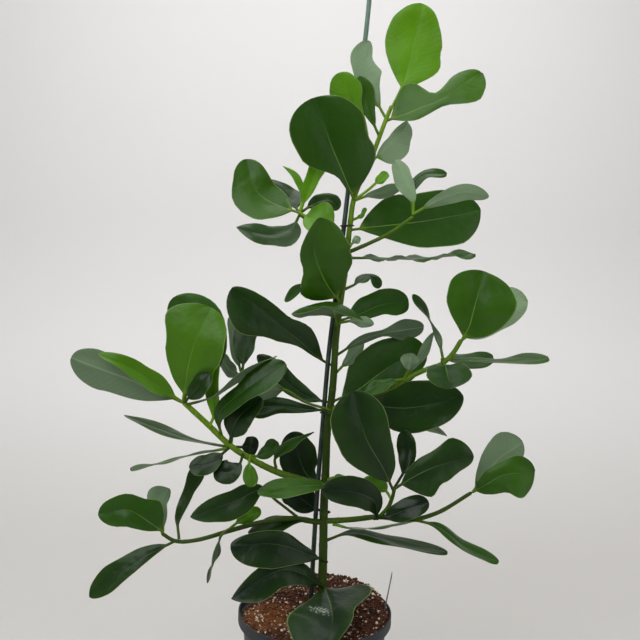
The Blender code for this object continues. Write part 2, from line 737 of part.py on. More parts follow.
def turned(name, profile, segments, material):
    """A solid of revolution from its closed outline of (radius, height) points."""
    shape = bmesh.new()
    loops = []
    for i in range(segments):
        turn = math.tau * i / segments
        loop = []
        for radius, height in profile:
            loop.append(
                shape.verts.new((radius * math.cos(turn) * MM, radius * math.sin(turn) * MM, height * MM))
            )
        loops.append(loop)
    size = len(profile)
    for i in range(segments):
        here, there = loops[i], loops[(i + 1) % segments]
        for j in range(size):
            k = (j + 1) % size
            shape.faces.new((here[j], there[j], there[k], here[k]))
    bmesh.ops.remove_doubles(shape, verts=shape.verts, dist=0.01 * MM)
    mesh = bpy.data.meshes.new(name)
    shape.to_mesh(mesh)
    shape.free()
    mesh.materials.append(material)
    made = bpy.data.objects.new(name, mesh)
    bpy.context.scene.collection.objects.link(made)
    return facing_out(made)


def drum(name, centre, radius, low, high, sides, material):
    """An upright cylinder between two heights."""
    x, y = centre
    rings = []
    for height in (low, high):
        ring = []
        for i in range(sides):
            turn = math.tau * i / sides
            ring.append(Vector((x + radius * math.cos(turn), y + radius * math.sin(turn), height)))
        rings.append(ring)
    points = [point for ring in rings for point in ring]
    return facing_out(object_from(name, points, bridged(rings), material))


def wall_radius(height):
    """The radius of the pot's outer wall at a height."""
    mouth = POT_MOUTH_RADIUS - COLLAR_PROUD
    return POT_FOOT_RADIUS + (mouth - POT_FOOT_RADIUS) * height / POT_HEIGHT


def inner_radius(height):
    return wall_radius(height) - POT_WALL


def make_pot():
    material = make_material("pot", POT_FINISH)
    collar_low = POT_HEIGHT - COLLAR_HEIGHT
    ring_inner = POT_FOOT_RADIUS - FOOT_RING_WIDTH
    profile = (
        (0, 0),
        (FLOOR_DISC_RADIUS, 0),
        (FLOOR_DISC_RADIUS + 2, FLOOR_RECESS),
        (ring_inner - 2, FLOOR_RECESS),
        (ring_inner, 0),
        (POT_FOOT_RADIUS - 1.5, 0),
        (POT_FOOT_RADIUS, 1.5),
        (wall_radius(collar_low), collar_low),
        (POT_MOUTH_RADIUS - 1, collar_low + 1),
        (POT_MOUTH_RADIUS, collar_low + 3),
        (POT_MOUTH_RADIUS, POT_HEIGHT - 3),
        (POT_MOUTH_RADIUS - 1.2, POT_HEIGHT - 0.6),
        (POT_MOUTH_RADIUS - 3, POT_HEIGHT),
        (inner_radius(POT_HEIGHT), POT_HEIGHT - 0.6),
        (inner_radius(POT_HEIGHT - 3), POT_HEIGHT - 3),
        (inner_radius(FLOOR_TOP), FLOOR_TOP),
        (0, FLOOR_TOP),
    )
    pot = turned("pot", profile, POT_SEGMENTS, material)
    drains = []
    for i in range(DRAIN_HOLES):
        turn = math.tau * (i + 0.5) / DRAIN_HOLES
        centre = (DRAIN_CIRCLE * math.cos(turn), DRAIN_CIRCLE * math.sin(turn))
        drains.append(drum("drain", centre, DRAIN_RADIUS, -2, FLOOR_TOP + 2, DRAIN_SIDES, material))
    return shade(apply_boolean(pot, drains, "DIFFERENCE"), 30)


def soil_height(x, y, radius):
    """The soil's surface: heaped to the back right, and a little lower along the wall."""
    back_right = (0.5 * x + 0.87 * y) / radius
    heap = SOIL_HEAP * smoothstep(-0.35, 0.75, back_right)
    edge = math.hypot(x, y) / radius
    drop = SOIL_EDGE_DROP * smoothstep(0.86, 1.0, edge) + 0.5 * heap * smoothstep(0.9, 1.0, edge)
    return SOIL_LOW + heap - drop


def hole_for(shoot, material):
    """A cutter a little wider and deeper than a stem that stands in the soil."""
    across, up, depth = shoot.path[0]
    deeper = replace(shoot, path=((across, up - 2, depth), *shoot.path[1:]), sides=16)
    return facing_out(shoot_object("hole", deeper, material, swell=2 * GAP))


def make_soil():
    material = make_material("soil", SOIL_FINISH)
    draw = random.Random(5)
    top_radius = inner_radius(SOIL_LOW) - GAP
    floor = FLOOR_TOP + GAP
    points = [Vector((0, 0, soil_height(0, 0, top_radius)))]
    for ring in range(1, SOIL_RINGS + 1):
        for i in range(POT_SEGMENTS):
            turn = math.tau * (i + 0.5 * ((SOIL_RINGS - ring) % 2)) / POT_SEGMENTS
            radius = top_radius * (ring / SOIL_RINGS) ** 0.85
            height = soil_height(radius * math.cos(turn), radius * math.sin(turn), top_radius)
            if ring < SOIL_RINGS:
                height += draw.uniform(-SOIL_ROUGHNESS, SOIL_ROUGHNESS)
            else:
                radius = inner_radius(height) - 1.5 * GAP
            points.append(Vector((radius * math.cos(turn), radius * math.sin(turn), height)))
    foot_radius = inner_radius(floor) - 1.5 * GAP
    for i in range(POT_SEGMENTS):
        turn = math.tau * i / POT_SEGMENTS
        points.append(Vector((foot_radius * math.cos(turn), foot_radius * math.sin(turn), floor)))
    faces = []
    for i in range(POT_SEGMENTS):
        faces.append((0, 1 + i, 1 + (i + 1) % POT_SEGMENTS))
    for ring in range(SOIL_RINGS):
        first, second = 1 + ring * POT_SEGMENTS, 1 + (ring + 1) * POT_SEGMENTS
        for i in range(POT_SEGMENTS):
            j = (i + 1) % POT_SEGMENTS
            faces.append((first + i, second + i, second + j))
            faces.append((first + i, second + j, first + j))
    last = 1 + SOIL_RINGS * POT_SEGMENTS
    faces.append(tuple(reversed(range(last, last + POT_SEGMENTS))))
    soil = facing_out(object_from("soil", points, faces, material))
    holes = [hole_for(MAIN_STEM, material), hole_for(STAKE, material), label_solid(material, GAP)]
    return shade(apply_boolean(soil, holes, "DIFFERENCE"), 60)


def make_stake():
    return shade(facing_out(shoot_object("stake", STAKE, make_material("stake", STAKE_FINISH))))


def height_on(at, height):
    """The point where a rising curve passes a height."""
    low, high = 0.0, 1.0
    for _ in range(30):
        middle = (low + high) / 2
        if at(middle).z < height:
            low = middle
        else:
            high = middle
    return at(low)


def make_tie(name, height):
    """A closed loop of soft wire round the stem and the stake together."""
    stem_at, _ = smooth_curve(MAIN_STEM.path)
    stake_at, _ = smooth_curve(STAKE.path)
    stem, stake = height_on(stem_at, height), height_on(stake_at, height)
    foot, head = MAIN_STEM.path[0][1], MAIN_STEM.path[-1][1]
    thick, thin = MAIN_STEM.radii
    stem_radius = thick + (thin - thick) * (height - foot) / (head - foot)
    stem_reach = stem_radius + TIE_RADIUS + TIE_SLACK
    stake_reach = STAKE_RADIUS + TIE_RADIUS + TIE_SLACK
    centre = (stem + stake) / 2
    step = math.tau / TIE_STEPS
    outs = [Vector((math.cos(step * i), math.sin(step * i), 0)) for i in range(TIE_STEPS)]
    reaches = []
    for out in outs:
        reaches.append(max((stem - centre).dot(out) + stem_reach, (stake - centre).dot(out) + stake_reach))
    points = []
    for i, out in enumerate(outs):
        ahead = Vector((-out.y, out.x, 0))
        slope = (reaches[(i + 1) % TIE_STEPS] - reaches[i - 1]) / (2 * step)
        points.append(centre + out * reaches[i] + ahead * slope)
    upright = Vector((0, 0, 1))
    corners = []
    for i, point in enumerate(points):
        side = (points[(i + 1) % TIE_STEPS] - points[i - 1]).normalized().cross(upright)
        for k in range(TIE_SIDES):
            turn = math.tau * k / TIE_SIDES
            corners.append(point + TIE_RADIUS * (math.cos(turn) * side + math.sin(turn) * upright))
    faces = []
    for i in range(TIE_STEPS):
        for k in range(TIE_SIDES):
            j, n = (i + 1) % TIE_STEPS, (k + 1) % TIE_SIDES
            faces.append((i * TIE_SIDES + k, i * TIE_SIDES + n, j * TIE_SIDES + n, j * TIE_SIDES + k))
    return shade(facing_out(object_from(name, corners, faces, make_material(name, TIE_FINISH))))


def label_solid(material, swell=0.0):
    """A blank plastic label, seen on its edge, pointed at the foot and leaning outwards."""
    lean = math.radians(LABEL_LEAN)
    rise = Vector((math.sin(lean), 0.1, math.cos(lean))).normalized()
    half, thin = LABEL_WIDTH / 2 + swell, LABEL_THICKNESS / 2 + swell
    outline = (
        (0, -swell), (half * 0.8, 14), (half, 18), (half, LABEL_LENGTH - 4), (half - 3, LABEL_LENGTH),
        (-half + 3, LABEL_LENGTH), (-half, LABEL_LENGTH - 4), (-half, 18), (-half * 0.8, 14),
    )
    across = Vector((0.12, 1, 0)).normalized()
    through = across.cross(rise).normalized()
    rings = []
    for offset in (-thin, thin):
        rings.append([LABEL_FOOT + across * a + rise * b + through * offset for a, b in outline])
    points = [point for ring in rings for point in ring]
    return facing_out(object_from("label", points, bridged(rings), material))


def main():
    clear_scene()
    make_pot()
    make_soil()
    make_stake()
    for name, height in zip(("tie_lower", "tie_upper"), TIE_HEIGHTS):
        make_tie(name, height)
    label_solid(make_material("label", LABEL_FINISH))
    leafy_stem("main_stem", (MAIN_STEM,), MAIN_LEAVES, root_clearance=False)
    leafy_stem("branch_upper_right", (UPPER_RIGHT_SHOOT,), UPPER_RIGHT_LEAVES)
    leafy_stem("branch_upper_left", (UPPER_LEFT_SHOOT,), UPPER_LEFT_LEAVES)
    leafy_stem("branch_right", (RIGHT_SHOOT,), RIGHT_LEAVES)
    leafy_stem("branch_low_right", (LOW_RIGHT_SHOOT, LOW_RIGHT_TWIG), LOW_RIGHT_LEAVES)
    leafy_stem("branch_left", (LEFT_SHOOT, LEFT_TWIG), LEFT_LEAVES)
    leafy_stem("branch_low_left", (LOW_LEFT_SHOOT,), LOW_LEFT_LEAVES)


if __name__ == "__main__":
    main()
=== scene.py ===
"""A potted clusia tied to a stake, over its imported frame. Metres, +Z up, the viewer looks along +Y."""

import json
import math
import random
from dataclasses import dataclass

import bmesh
import bpy
from bpy.props import FloatProperty, FloatVectorProperty, IntProperty, PointerProperty
from bpy.types import Operator, Panel, PropertyGroup
from mathutils import Matrix, Vector, noise

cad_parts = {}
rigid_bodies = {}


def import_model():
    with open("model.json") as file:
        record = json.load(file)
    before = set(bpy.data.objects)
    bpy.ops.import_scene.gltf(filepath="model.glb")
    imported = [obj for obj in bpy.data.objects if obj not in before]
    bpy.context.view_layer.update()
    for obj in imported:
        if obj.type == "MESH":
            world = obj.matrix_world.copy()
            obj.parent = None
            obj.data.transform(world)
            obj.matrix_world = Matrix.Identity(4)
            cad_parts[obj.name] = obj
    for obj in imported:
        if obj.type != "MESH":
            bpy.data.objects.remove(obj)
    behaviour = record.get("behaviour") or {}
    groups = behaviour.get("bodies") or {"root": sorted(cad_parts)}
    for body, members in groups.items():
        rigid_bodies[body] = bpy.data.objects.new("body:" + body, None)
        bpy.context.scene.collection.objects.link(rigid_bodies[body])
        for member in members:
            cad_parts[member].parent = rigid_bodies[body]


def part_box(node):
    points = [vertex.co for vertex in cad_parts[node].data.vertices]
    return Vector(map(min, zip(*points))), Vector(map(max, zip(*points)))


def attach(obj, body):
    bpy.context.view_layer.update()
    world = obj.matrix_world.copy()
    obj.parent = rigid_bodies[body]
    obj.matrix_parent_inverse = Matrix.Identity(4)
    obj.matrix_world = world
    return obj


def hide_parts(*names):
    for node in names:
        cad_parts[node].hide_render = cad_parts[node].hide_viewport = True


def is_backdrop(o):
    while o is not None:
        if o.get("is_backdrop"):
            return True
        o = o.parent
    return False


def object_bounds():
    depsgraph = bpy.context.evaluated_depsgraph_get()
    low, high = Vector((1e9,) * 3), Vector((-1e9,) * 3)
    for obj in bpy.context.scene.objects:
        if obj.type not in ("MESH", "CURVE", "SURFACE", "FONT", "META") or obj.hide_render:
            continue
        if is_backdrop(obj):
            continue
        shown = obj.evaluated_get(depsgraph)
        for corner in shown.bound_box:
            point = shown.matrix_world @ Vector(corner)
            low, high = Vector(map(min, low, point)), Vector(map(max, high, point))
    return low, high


bl_info = {
    "name": "Potted Clusia",
    "version": (1, 0, 0),
    "blender": (4, 5, 0),
    "location": "View3D > Sidebar > Clusia",
    "description": "Builds a potted clusia with its foliage, pot, soil, stake, ties and label",
    "category": "Add Mesh",
}

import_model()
CAD_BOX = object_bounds()
POT_LOW, POT_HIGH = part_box("pot")

MM = 0.001

# The pot's sizes, in millimetres: its outside comes from the frame
POT_HEIGHT = (POT_HIGH.z - POT_LOW.z) / MM
POT_MOUTH_RADIUS = (POT_HIGH.x - POT_LOW.x) / 2 / MM
POT_FOOT_RADIUS = 70.0
POT_WALL = 2.0
FOOT_EDGE = 1.5
FOOT_RING_WIDTH = 9.0
RIM_OUTER_EDGE = 1.0
RIM_INNER_EDGE = 0.8

# Its collar: how far it stands out, its lower edge and fillet, and the step of the wall inside it
COLLAR_HEIGHT = 13.0
COLLAR_LOW = POT_HEIGHT - COLLAR_HEIGHT
COLLAR_PROUD = 4.0
COLLAR_EDGE = 1.6
COLLAR_FILLET = 1.2
COLLAR_STEP = 4.0

# Two moulded lines round its wall: their heights, and half their width at the wall and at the bottom
MOULDED_LINES = (26.0, 118.0)
LINE_DEPTH = 0.35
LINE_EDGE = 1.6
LINE_BOTTOM = 1.0

# Its floor, raised between a middle disc and the foot ring, with the drainage holes in the raised part
FLOOR_THICKNESS = 2.6
FLOOR_RECESS = 3.0
FLOOR_TOP = FLOOR_RECESS + FLOOR_THICKNESS
FLOOR_SLOPE = 2.0
FLOOR_DISC_RADIUS = 34.0
DRAIN_HOLES = 8
DRAIN_RADIUS = 4.5
DRAIN_CIRCLE = 47.5
DRAIN_SIDES = 24

# The soil, low at the front left and heaped at the back right, with its gaps to the pot's wall, and the
# sizes of what lies on it and how far that is lifted out of it
SOIL_LOW = 166.0
SOIL_HEAP = 21.0
SOIL_EDGE_DROP = 3.0
SOIL_GAP = 0.5
SOIL_SIDE_GAP = 0.8
CLOD_HEIGHT = 1.5
SOIL_AROUND = 180
SOIL_RINGS = 58
GRAIN_MARGIN = 2.0
CRUMB_SIZES = (0.5, 2.7)
CRUMB_LIFT = 0.3
PERLITE_SIZES = (0.45, 2.1)
PERLITE_LIFT = 0.5

# The stake and its two ties
STAKE_RADIUS = 3.0
STAKE_RIBS = 12
RIB_DEPTH = 0.035
STAKE_CUTS = 90
CAP_CUTS = 6
TIE_RADIUS = 0.8
TIE_SLACK = 0.5
TIE_HEIGHTS = (418.5, 654.0)
TIE_STEPS = 72
TIE_SIDES = 12

# The blank plant label, with the (share of its half width, height) of its lower corners
LABEL_WIDTH = 13.0
LABEL_THICKNESS = 0.9
LABEL_LENGTH = 95.0
LABEL_LEAN = 11.0
LABEL_CORNERS = ((0.8, 14.0), (1.0, 18.0))
LABEL_ROUNDING = 3.0
LABEL_EDGE = 0.25
LABEL_FOOT = Vector((77.5, -8.0, 128.0))

# Blades: where along them their margins are read, where they have opened out of the petiole, where their
# first and last cuts lie, and how far they reach on the way to their last place
BLADE_THICKNESS = 0.9
READ_AT = (0.2, 0.5, 0.8)
OPEN_AT = 0.15
CUT_ENDS = (0.006, 0.9985)
TIP_SHARE = 0.9975

# Places across a blade, from its left margin to its right, where its skin has a point
ACROSS = (-1, -0.97, -0.88, -0.7, -0.48, -0.25, -0.07, 0, 0.07, 0.25, 0.48, 0.7, 0.88, 0.97, 1)

# Their midrib: its width, the groove over it, and the keel under it, with what the keel gains at the base
RIB_WIDTH = 0.09
GROOVE_DEPTH = 0.35
KEEL_DEPTH = 0.7
KEEL_GAIN = 0.25

# How soft their fold is, how thin their margins get, how much margins and surface wander, and how far the
# ripple of the right margin lags behind that of the left
CREASE = 0.05
MARGIN_THINNING = 0.65
MARGIN_WANDER = 0.065
SURFACE_WANDER = 2.4
WAVE_LAG = 2.0

# The share of a blade's direction along Y above which it counts as seen end on
END_ON = 0.8

# Petioles, which flare where they leave the stem, and whose colour fades over the foot of the blade
PETIOLE_RADIUS = 1.7
PETIOLE_STEP = 3.0
PETIOLE_FADE = 0.09
PETIOLE_FLARE = 0.35
FLARE_REACH = 3.0

# Stems: the step between their rings, how uneven their skin is, and the leaf scars that swell them, with
# how far the first one stands from the foot, how far the next ones stand apart and where they stop
RING_STEP = 2.6
STEM_UNEVENNESS = 0.045
SCAR_WIDTH = 1.5
SCAR_SWELL = 0.09
FIRST_SCAR = (12, 26)
SCAR_SPACING = (22, 46)
SCARLESS_END = 8.0

# Steps from one place of a curve to the next
CURVE_STEPS = 12

# Where the lowest leaf in front is scratched white, and how far the scratches reach
MARKS_AT = Vector((1.0, -66.0, 198.0))
MARKS_REACH = Vector((21.0, 13.0, 8.0))

# The places of stems are (across, up, depth). Across and up are read where the point lines up with the
# stem's own plane from the viewer's eye, and depth moves it along that line of sight. The places of
# leaves are read straight off the photograph, as (column, row, depth): its middle, its roll and the size
# that a pixel has on the stem's plane turn a column and a row into across and up.
EYE = Vector((-3.0, -820.0, 535.0))
PHOTO_MIDDLE = 320.0
PHOTO_ROLL = math.radians(1.5)
PIXEL = 1.25


@dataclass
class Leaf:
    """A blade on its petiole, from its root to its tip.

    Left and right are how far its two margins stand from the midrib, seen on the upper face with the tip
    up: near the base, in the middle and near the tip, or in the middle alone. The roll turns the upper
    face: 0 looks up, 90 looks at the viewer, and below 0 it looks away. Fold and cup bend its halves up, in
    degrees, at the midrib and on the way to the margins. Wave is how high the margins ripple, and waves how
    often. The petiole is a length in millimetres, and a larger taper makes a more pointed tip.
    """

    path: tuple
    left: float | tuple
    right: float | tuple
    roll: float | tuple = 80
    fold: float = 8.0
    cup: float = -10.0
    wave: float = 1.5
    waves: float = 1.4
    petiole: float = 12.0
    taper: float = 0.5


@dataclass
class Shoot:
    """A round stem through its places, with its radius at the two ends."""

    path: tuple
    radii: tuple
    sides: int = 12


MAIN_STEM = Shoot(
    path=(
        (8, 60, 0), (8.5, 190, 0), (8.5, 250, 0), (8, 300, 0), (9, 350, 0), (10, 400, 0), (15, 450, 0),
        (17.5, 510, 0), (21, 550, 0), (27, 600, 0), (31, 650, 0), (36, 690, 0), (58, 745, 0), (72, 785, 0),
        (80, 806, 0),
    ),
    radii=(6.4, 2.6),
    sides=20,
)
STAKE = Shoot(
    path=(
        (-9, 40, 7), (-2, 290, 6.5), (3.5, 400, 6.5), (9.6, 500, 5.8), (15, 556, 5.5), (23.6, 650, 5),
        (36, 790, 5), (47, 920, 4), (50, 966, 4),
    ),
    radii=(STAKE_RADIUS, STAKE_RADIUS),
    sides=48,
)

# Leaves that stand on the main stem, from the crown down
MAIN_LEAVES = (
    Leaf(
        ((390, 111, 0), (403, 84, 4), (413, 45, 8), (423, 3.5, 2)),
        (21, 35, 31), (32, 37, 26), 85, petiole=34,
    ),
    Leaf(
        ((386, 121, 0), (412, 111, -10), (442, 98, -22), (481, 72, -18)),
        (36, 12, 18), (13, 11, 30), (75, 60, 80), petiole=6, wave=2.5, waves=1.0,
    ),
    Leaf(
        ((385, 117, 0), (375, 98, -4), (366, 74, -5), (370, 41, -4)),
        (9, 20, 6), (9, 15, 20), (-70, -88), fold=-8, cup=0,
    ),
    Leaf(((379, 136, 0), (369, 112, -7), (364, 92, -9), (360, 76, -10)), (6, 9, 10), (7, 11, 12), 80),
    Leaf(
        ((373, 152, 0), (362, 128, -9), (353, 104, -13), (341, 72, -16)),
        (14, 21, 23), (7, 10, 18), 80, taper=0.4,
    ),
    Leaf(
        ((354, 200, -3), (344, 176, -15), (332, 147, -28), (315, 97, -38)),
        (7, 40, 42), (41, 47, 46), 82, petiole=5, taper=0.45,
    ),
    Leaf(
        ((370, 163, 1), (384, 150, 10), (396, 137, 18), (408, 122, 20)),
        (20, 27, 18), (6, 7, 7), -75, taper=0.4,
    ),
    Leaf(((356, 199, -1), (368, 190, -5), (376, 183, -8), (388, 173, -10)), 7, 7, 70, petiole=30),
    Leaf(((356, 200, 2), (370, 195, 10), (385, 192, 15), (404, 187, 20)), 9, 9, -45),
    Leaf(
        ((350, 230, 2), (375, 227, 12), (420, 222, 25), (481, 210, 38)),
        (32, 39, 34), (17, 37, 38), 78, taper=0.6,
    ),
    Leaf(
        ((349, 258, 2), (380, 258, 10), (420, 259, 5), (476, 254, -5)),
        22, 22, (14, 8, 14), wave=5, waves=2.6,
    ),
    Leaf(
        ((345, 289, 2), (358, 283, 12), (368, 276, 20), (381, 287, 24)),
        (7, 10, 9), (7, 10, 9), (-60, 20, 75),
    ),
    Leaf(
        ((339, 301, -2), (325, 281, -20), (314, 250, -40), (321, 217, -52)),
        (30, 18, 12), (34, 44, 42), 80, petiole=6, cup=-16,
    ),
    Leaf(((339, 299, -2), (318, 286, -16), (299, 288, -26), (285, 302, -32)), (3, 2.5, 6), (3, 2.5, 6), 70),
    Leaf(((340, 293, -2), (330, 286, -6), (322, 287, -9), (313, 292, -10)), 5, 5, 60),
    Leaf(
        ((337, 326, -2), (333, 306, -20), (327, 302, -40), (323, 306, -62)),
        (30, 46, 44), (30, 46, 44), 0, cup=-38, fold=-6,
    ),
    Leaf(
        ((339, 321, 1), (362, 313, 10), (384, 304, 20), (409, 303, 24)),
        (16, 19, 19), (8, 13, 18), 72, taper=0.35,
    ),
    Leaf(((339, 323, -2), (352, 321, -8), (363, 322, -12), (374, 324, -14)), 7, 7, -70),
    Leaf(
        ((337, 355, 2), (358, 342, 12), (380, 334, 22), (424, 327, 35)),
        (6, 4, 15), (7, 5, 14), (-70, -60, -80), taper=0.4,
    ),
    Leaf(
        (
            (334, 366, 2), (335, 366, 10), (329, 364, 17), (316, 356, 16), (296, 338, 4), (270, 318, -14),
            (231, 288, -28),
        ),
        (5, 20, 36), (20, 16, 15), 78, petiole=27,
    ),
    Leaf(((337, 372, 3), (350, 358, 22), (364, 342, 42)), 11, 11, -65),
    Leaf(
        ((334, 401, 2), (356, 391, 18), (386, 369, 30), (425, 347, 34)),
        (27, 37, 30), (18, 27, 27), 82, taper=0.45,
    ),
    Leaf(
        ((332, 402, 2), (334, 402, 10), (327, 402, 17), (306, 396, 18), (286, 381, 20), (257, 355, 16)),
        (9, 13, 12), (11, 13, 13), 65, wave=3, petiole=27,
    ),
    Leaf(((331, 411, -2), (308, 409, 0), (278, 406, 2), (242, 408, 4)), (6, 9, 16), (6, 11, 14), 65),
    Leaf(((331, 410, -3), (305, 402, -3), (281, 389, -1), (232, 405, 5)), 21, 21, -60, petiole=64),
    Leaf(
        ((329, 484, -4), (324, 485, -18), (304, 486, -36), (257, 493, -44)),
        (10, 15, 15), (10, 15, 15), 28,
    ),
    Leaf(((326, 480, -2), (338, 477, -10), (349, 481, -12)), 5, 5, 40),
    Leaf(
        ((329, 484, 2), (331, 484, 9), (324, 482, 15), (308, 476, 18), (299, 458, 18), (291, 432, 18)),
        (20, 25, 19), (17, 24, 20), 75, petiole=27,
    ),
    Leaf(
        ((328, 512, 2), (329, 512, 9), (322, 511, 15), (309, 505, 18), (286, 484, 18)),
        (12, 17, 18), (14, 19, 18), 70, petiole=26,
    ),
    Leaf(
        ((327, 562, -3), (303, 552, -18), (275, 544, -32), (230, 546, -38)),
        (13, 27, 25), (8, 16, 13), 72, wave=2.5,
    ),
    Leaf(
        ((326, 590, -3), (303, 574, -22), (280, 570, -35), (231, 599, -45)),
        (12, 20, 20), (11, 13, 10), 60, taper=0.85,
    ),
    Leaf(
        ((324, 587, -4), (330, 603, -45), (332, 625, -88), (318, 664, -122)),
        (48, 25, 13), (20, 42, 47), 0, petiole=4, cup=8,
    ),
    Leaf(((327, 540, -2), (350, 533, -8), (390, 541, -14), (448, 553, -20)), 15, 15, 10),
    Leaf(((352, 220, 1), (361, 216, 2), (366, 208, 3)), 3.5, 3.5, 60, petiole=6),
    Leaf(((349, 246, -1), (354, 242, -4), (360, 237, -6)), 5, 5, -70, petiole=5),
)

UPPER_RIGHT_SHOOT = Shoot(((29, 620, 0), (55, 632, -6), (80, 645, -12), (111, 668, -18)), (2.6, 2.0))
UPPER_RIGHT_LEAVES = (
    Leaf(
        ((413, 215, -18), (413, 198, -20), (406, 182, -18), (395, 160, -14)),
        (5, 9, 10), (8, 13, 10), -75,
    ),
    Leaf(
        ((413, 215, -18), (412, 190, -14), (424, 175, -10), (447, 174, -6)),
        (5, 8, 8), (5, 8, 8), 55, petiole=20,
    ),
    Leaf(((413, 214, -18), (440, 200, -24), (465, 192, -26), (489, 197, -28)), (7, 11, 9), (7, 10, 9), -60),
)

UPPER_LEFT_SHOOT = Shoot(((30, 630, 0), (14, 636, -5), (-8, 650, -8), (-33, 667, -4)), (2.6, 2.2))
UPPER_LEFT_LEAVES = (
    Leaf(((300, 213, -4), (278, 205, 12), (257, 192, 20), (245, 159, 24)), (24, 33, 21), (18, 24, 22), 76),
    Leaf(((300, 213, -4), (289, 200, 20), (277, 192, 30), (261, 181, 34)), (7, 10, 9), (17, 18, 14), 68),
    Leaf(
        ((300, 214, -4), (290, 230, -14), (268, 235, -18), (236, 227, -20)),
        (20, 15, 12), (10, 13, 12), 60, taper=0.8,
    ),
    Leaf(((300, 213, -4), (302, 193, 10), (296, 178, 14), (283, 166, 16)), 5, 5, 60, fold=20),
    Leaf(
        ((300, 213, -4), (307, 193, -9), (314, 175, -10), (322, 156, -10)),
        (6, 9, 9), (7, 11, 14), 75, fold=25,
    ),
    Leaf(((300, 213, -4), (314, 204, 4), (327, 200, 8), (340, 208, 8)), (7, 11, 11), (8, 13, 13), 65),
    Leaf(
        ((300, 213, -4), (308, 217, -16), (318, 220, -22), (334, 223, -24)),
        (12, 23, 22), (14, 22, 18), 75, cup=22,
    ),
)

RIGHT_SHOOT = Shoot(
    (
        (13, 424, 0), (28, 428, -5), (60, 441, -10), (88, 453, -14), (110, 466, -16), (130, 476, -18),
        (152, 485, -20), (165, 499, -23), (175, 516, -26),
    ),
    (3.6, 2.8),
)
RIGHT_LEAVES = (
    Leaf(
        ((462, 340, -26), (469, 326, -30), (475, 305, -34), (484, 271, -30)),
        (20, 35, 33), (31, 46, 40), 85, petiole=4, wave=2,
    ),
    Leaf(
        ((462, 340, -26), (482, 326, -12), (503, 311, 0), (528, 303, 8)),
        (14, 20, 21), (18, 28, 27), -75, petiole=6,
    ),
    Leaf(
        ((442, 359, -20), (475, 360, -16), (515, 361, -10), (549, 358, -6)),
        (9, 17, 19), (9, 17, 19), (6, 7, 17),
    ),
    Leaf(((442, 359, -18), (462, 361, 15), (477, 361, 32), (493, 356, 45)), 15, 15, 40),
    Leaf(((442, 361, -20), (446, 369, -38), (450, 389, -52)), (20, 28, 24), (20, 28, 24), 85, fold=22),
    Leaf(((443, 359, -18), (439, 341, -6), (431, 322, 0), (413, 294, 8)), 10, 10, (-70, 0, 75)),
    Leaf(((404, 380, -14), (424, 352, 8), (434, 332, 16)), 7, 7, -60),
    Leaf(
        ((350, 403, -8), (378, 406, 4), (408, 408, 8), (464, 397, 0)),
        (19, 34, 27), (17, 32, 26), 80, petiole=6, taper=0.6,
    ),
    Leaf(((405, 379, -16), (393, 381, -24), (380, 386, -28), (364, 394, -30)), 9, 9, 50),
    Leaf(((404, 379, -16), (408, 370, -20), (411, 353, -22)), 12, 12, -65),
    Leaf(((362, 399, -8), (405, 417, 22), (447, 436, 34)), 9, 9, -35, petiole=60),
)

LOW_RIGHT_SHOOT = Shoot(
    (
        (8.5, 284, 0), (24, 285, -4), (45, 287, -8), (78, 291, -14), (115, 288, -18), (150, 298, -16),
        (193, 325, -10),
    ),
    (3.6, 2.2),
)
LOW_RIGHT_TWIG = Shoot(((78, 291, -14), (88, 303, -20), (93, 315, -26), (96, 329, -32)), (2.6, 2.2))
LOW_RIGHT_LEAVES = (
    Leaf(
        ((393, 490, -31), (383, 468, -42), (366, 438, -50), (353, 391, -48)),
        (19, 34, 34), (18, 30, 29), 82,
    ),
    Leaf(
        ((393, 490, -31), (413, 477, -36), (437, 466, -36), (474, 457, -28)),
        (12, 18, 27), (27, 21, 12), 78, wave=2,
    ),
    Leaf(((391, 499, -26), (386, 491, -16), (377, 485, -10), (362, 480, -6)), (9, 12, 8), (9, 12, 8), 60),
    Leaf(
        ((374, 519, -14), (392, 515, -24), (410, 508, -30), (429, 502, -32)),
        (9, 13, 12), (9, 13, 12), 65, petiole=14,
    ),
    Leaf(
        ((393, 490, -31), (406, 467, -18), (409, 450, -12), (404, 430, -8)),
        (9, 14, 13), (6, 9, 9), 75, petiole=22,
    ),
    Leaf(
        ((377, 519, -14), (374, 501, -28), (357, 493, -34), (322, 489, -34)),
        (13, 16, 15), (11, 19, 16), 75, petiole=6,
    ),
    Leaf(
        ((473, 492, -10), (484, 476, 0), (500, 457, 6), (523, 442, 8)),
        (14, 23, 28), (13, 23, 26), -75, petiole=6,
    ),
    Leaf(
        ((473, 492, -10), (487, 484, -24), (503, 475, -30), (535, 472, -26)),
        (10, 15, 20), (13, 22, 28), 75, petiole=4, wave=3,
    ),
    Leaf(((404, 518, -17), (436, 526, -14), (466, 547, -8), (499, 562, 0)), 12, 12, 25, petiole=26),
    Leaf(((333, 524, -4), (350, 528, -14), (380, 528, -18), (416, 521, -20)), 12, 12, -22),
)

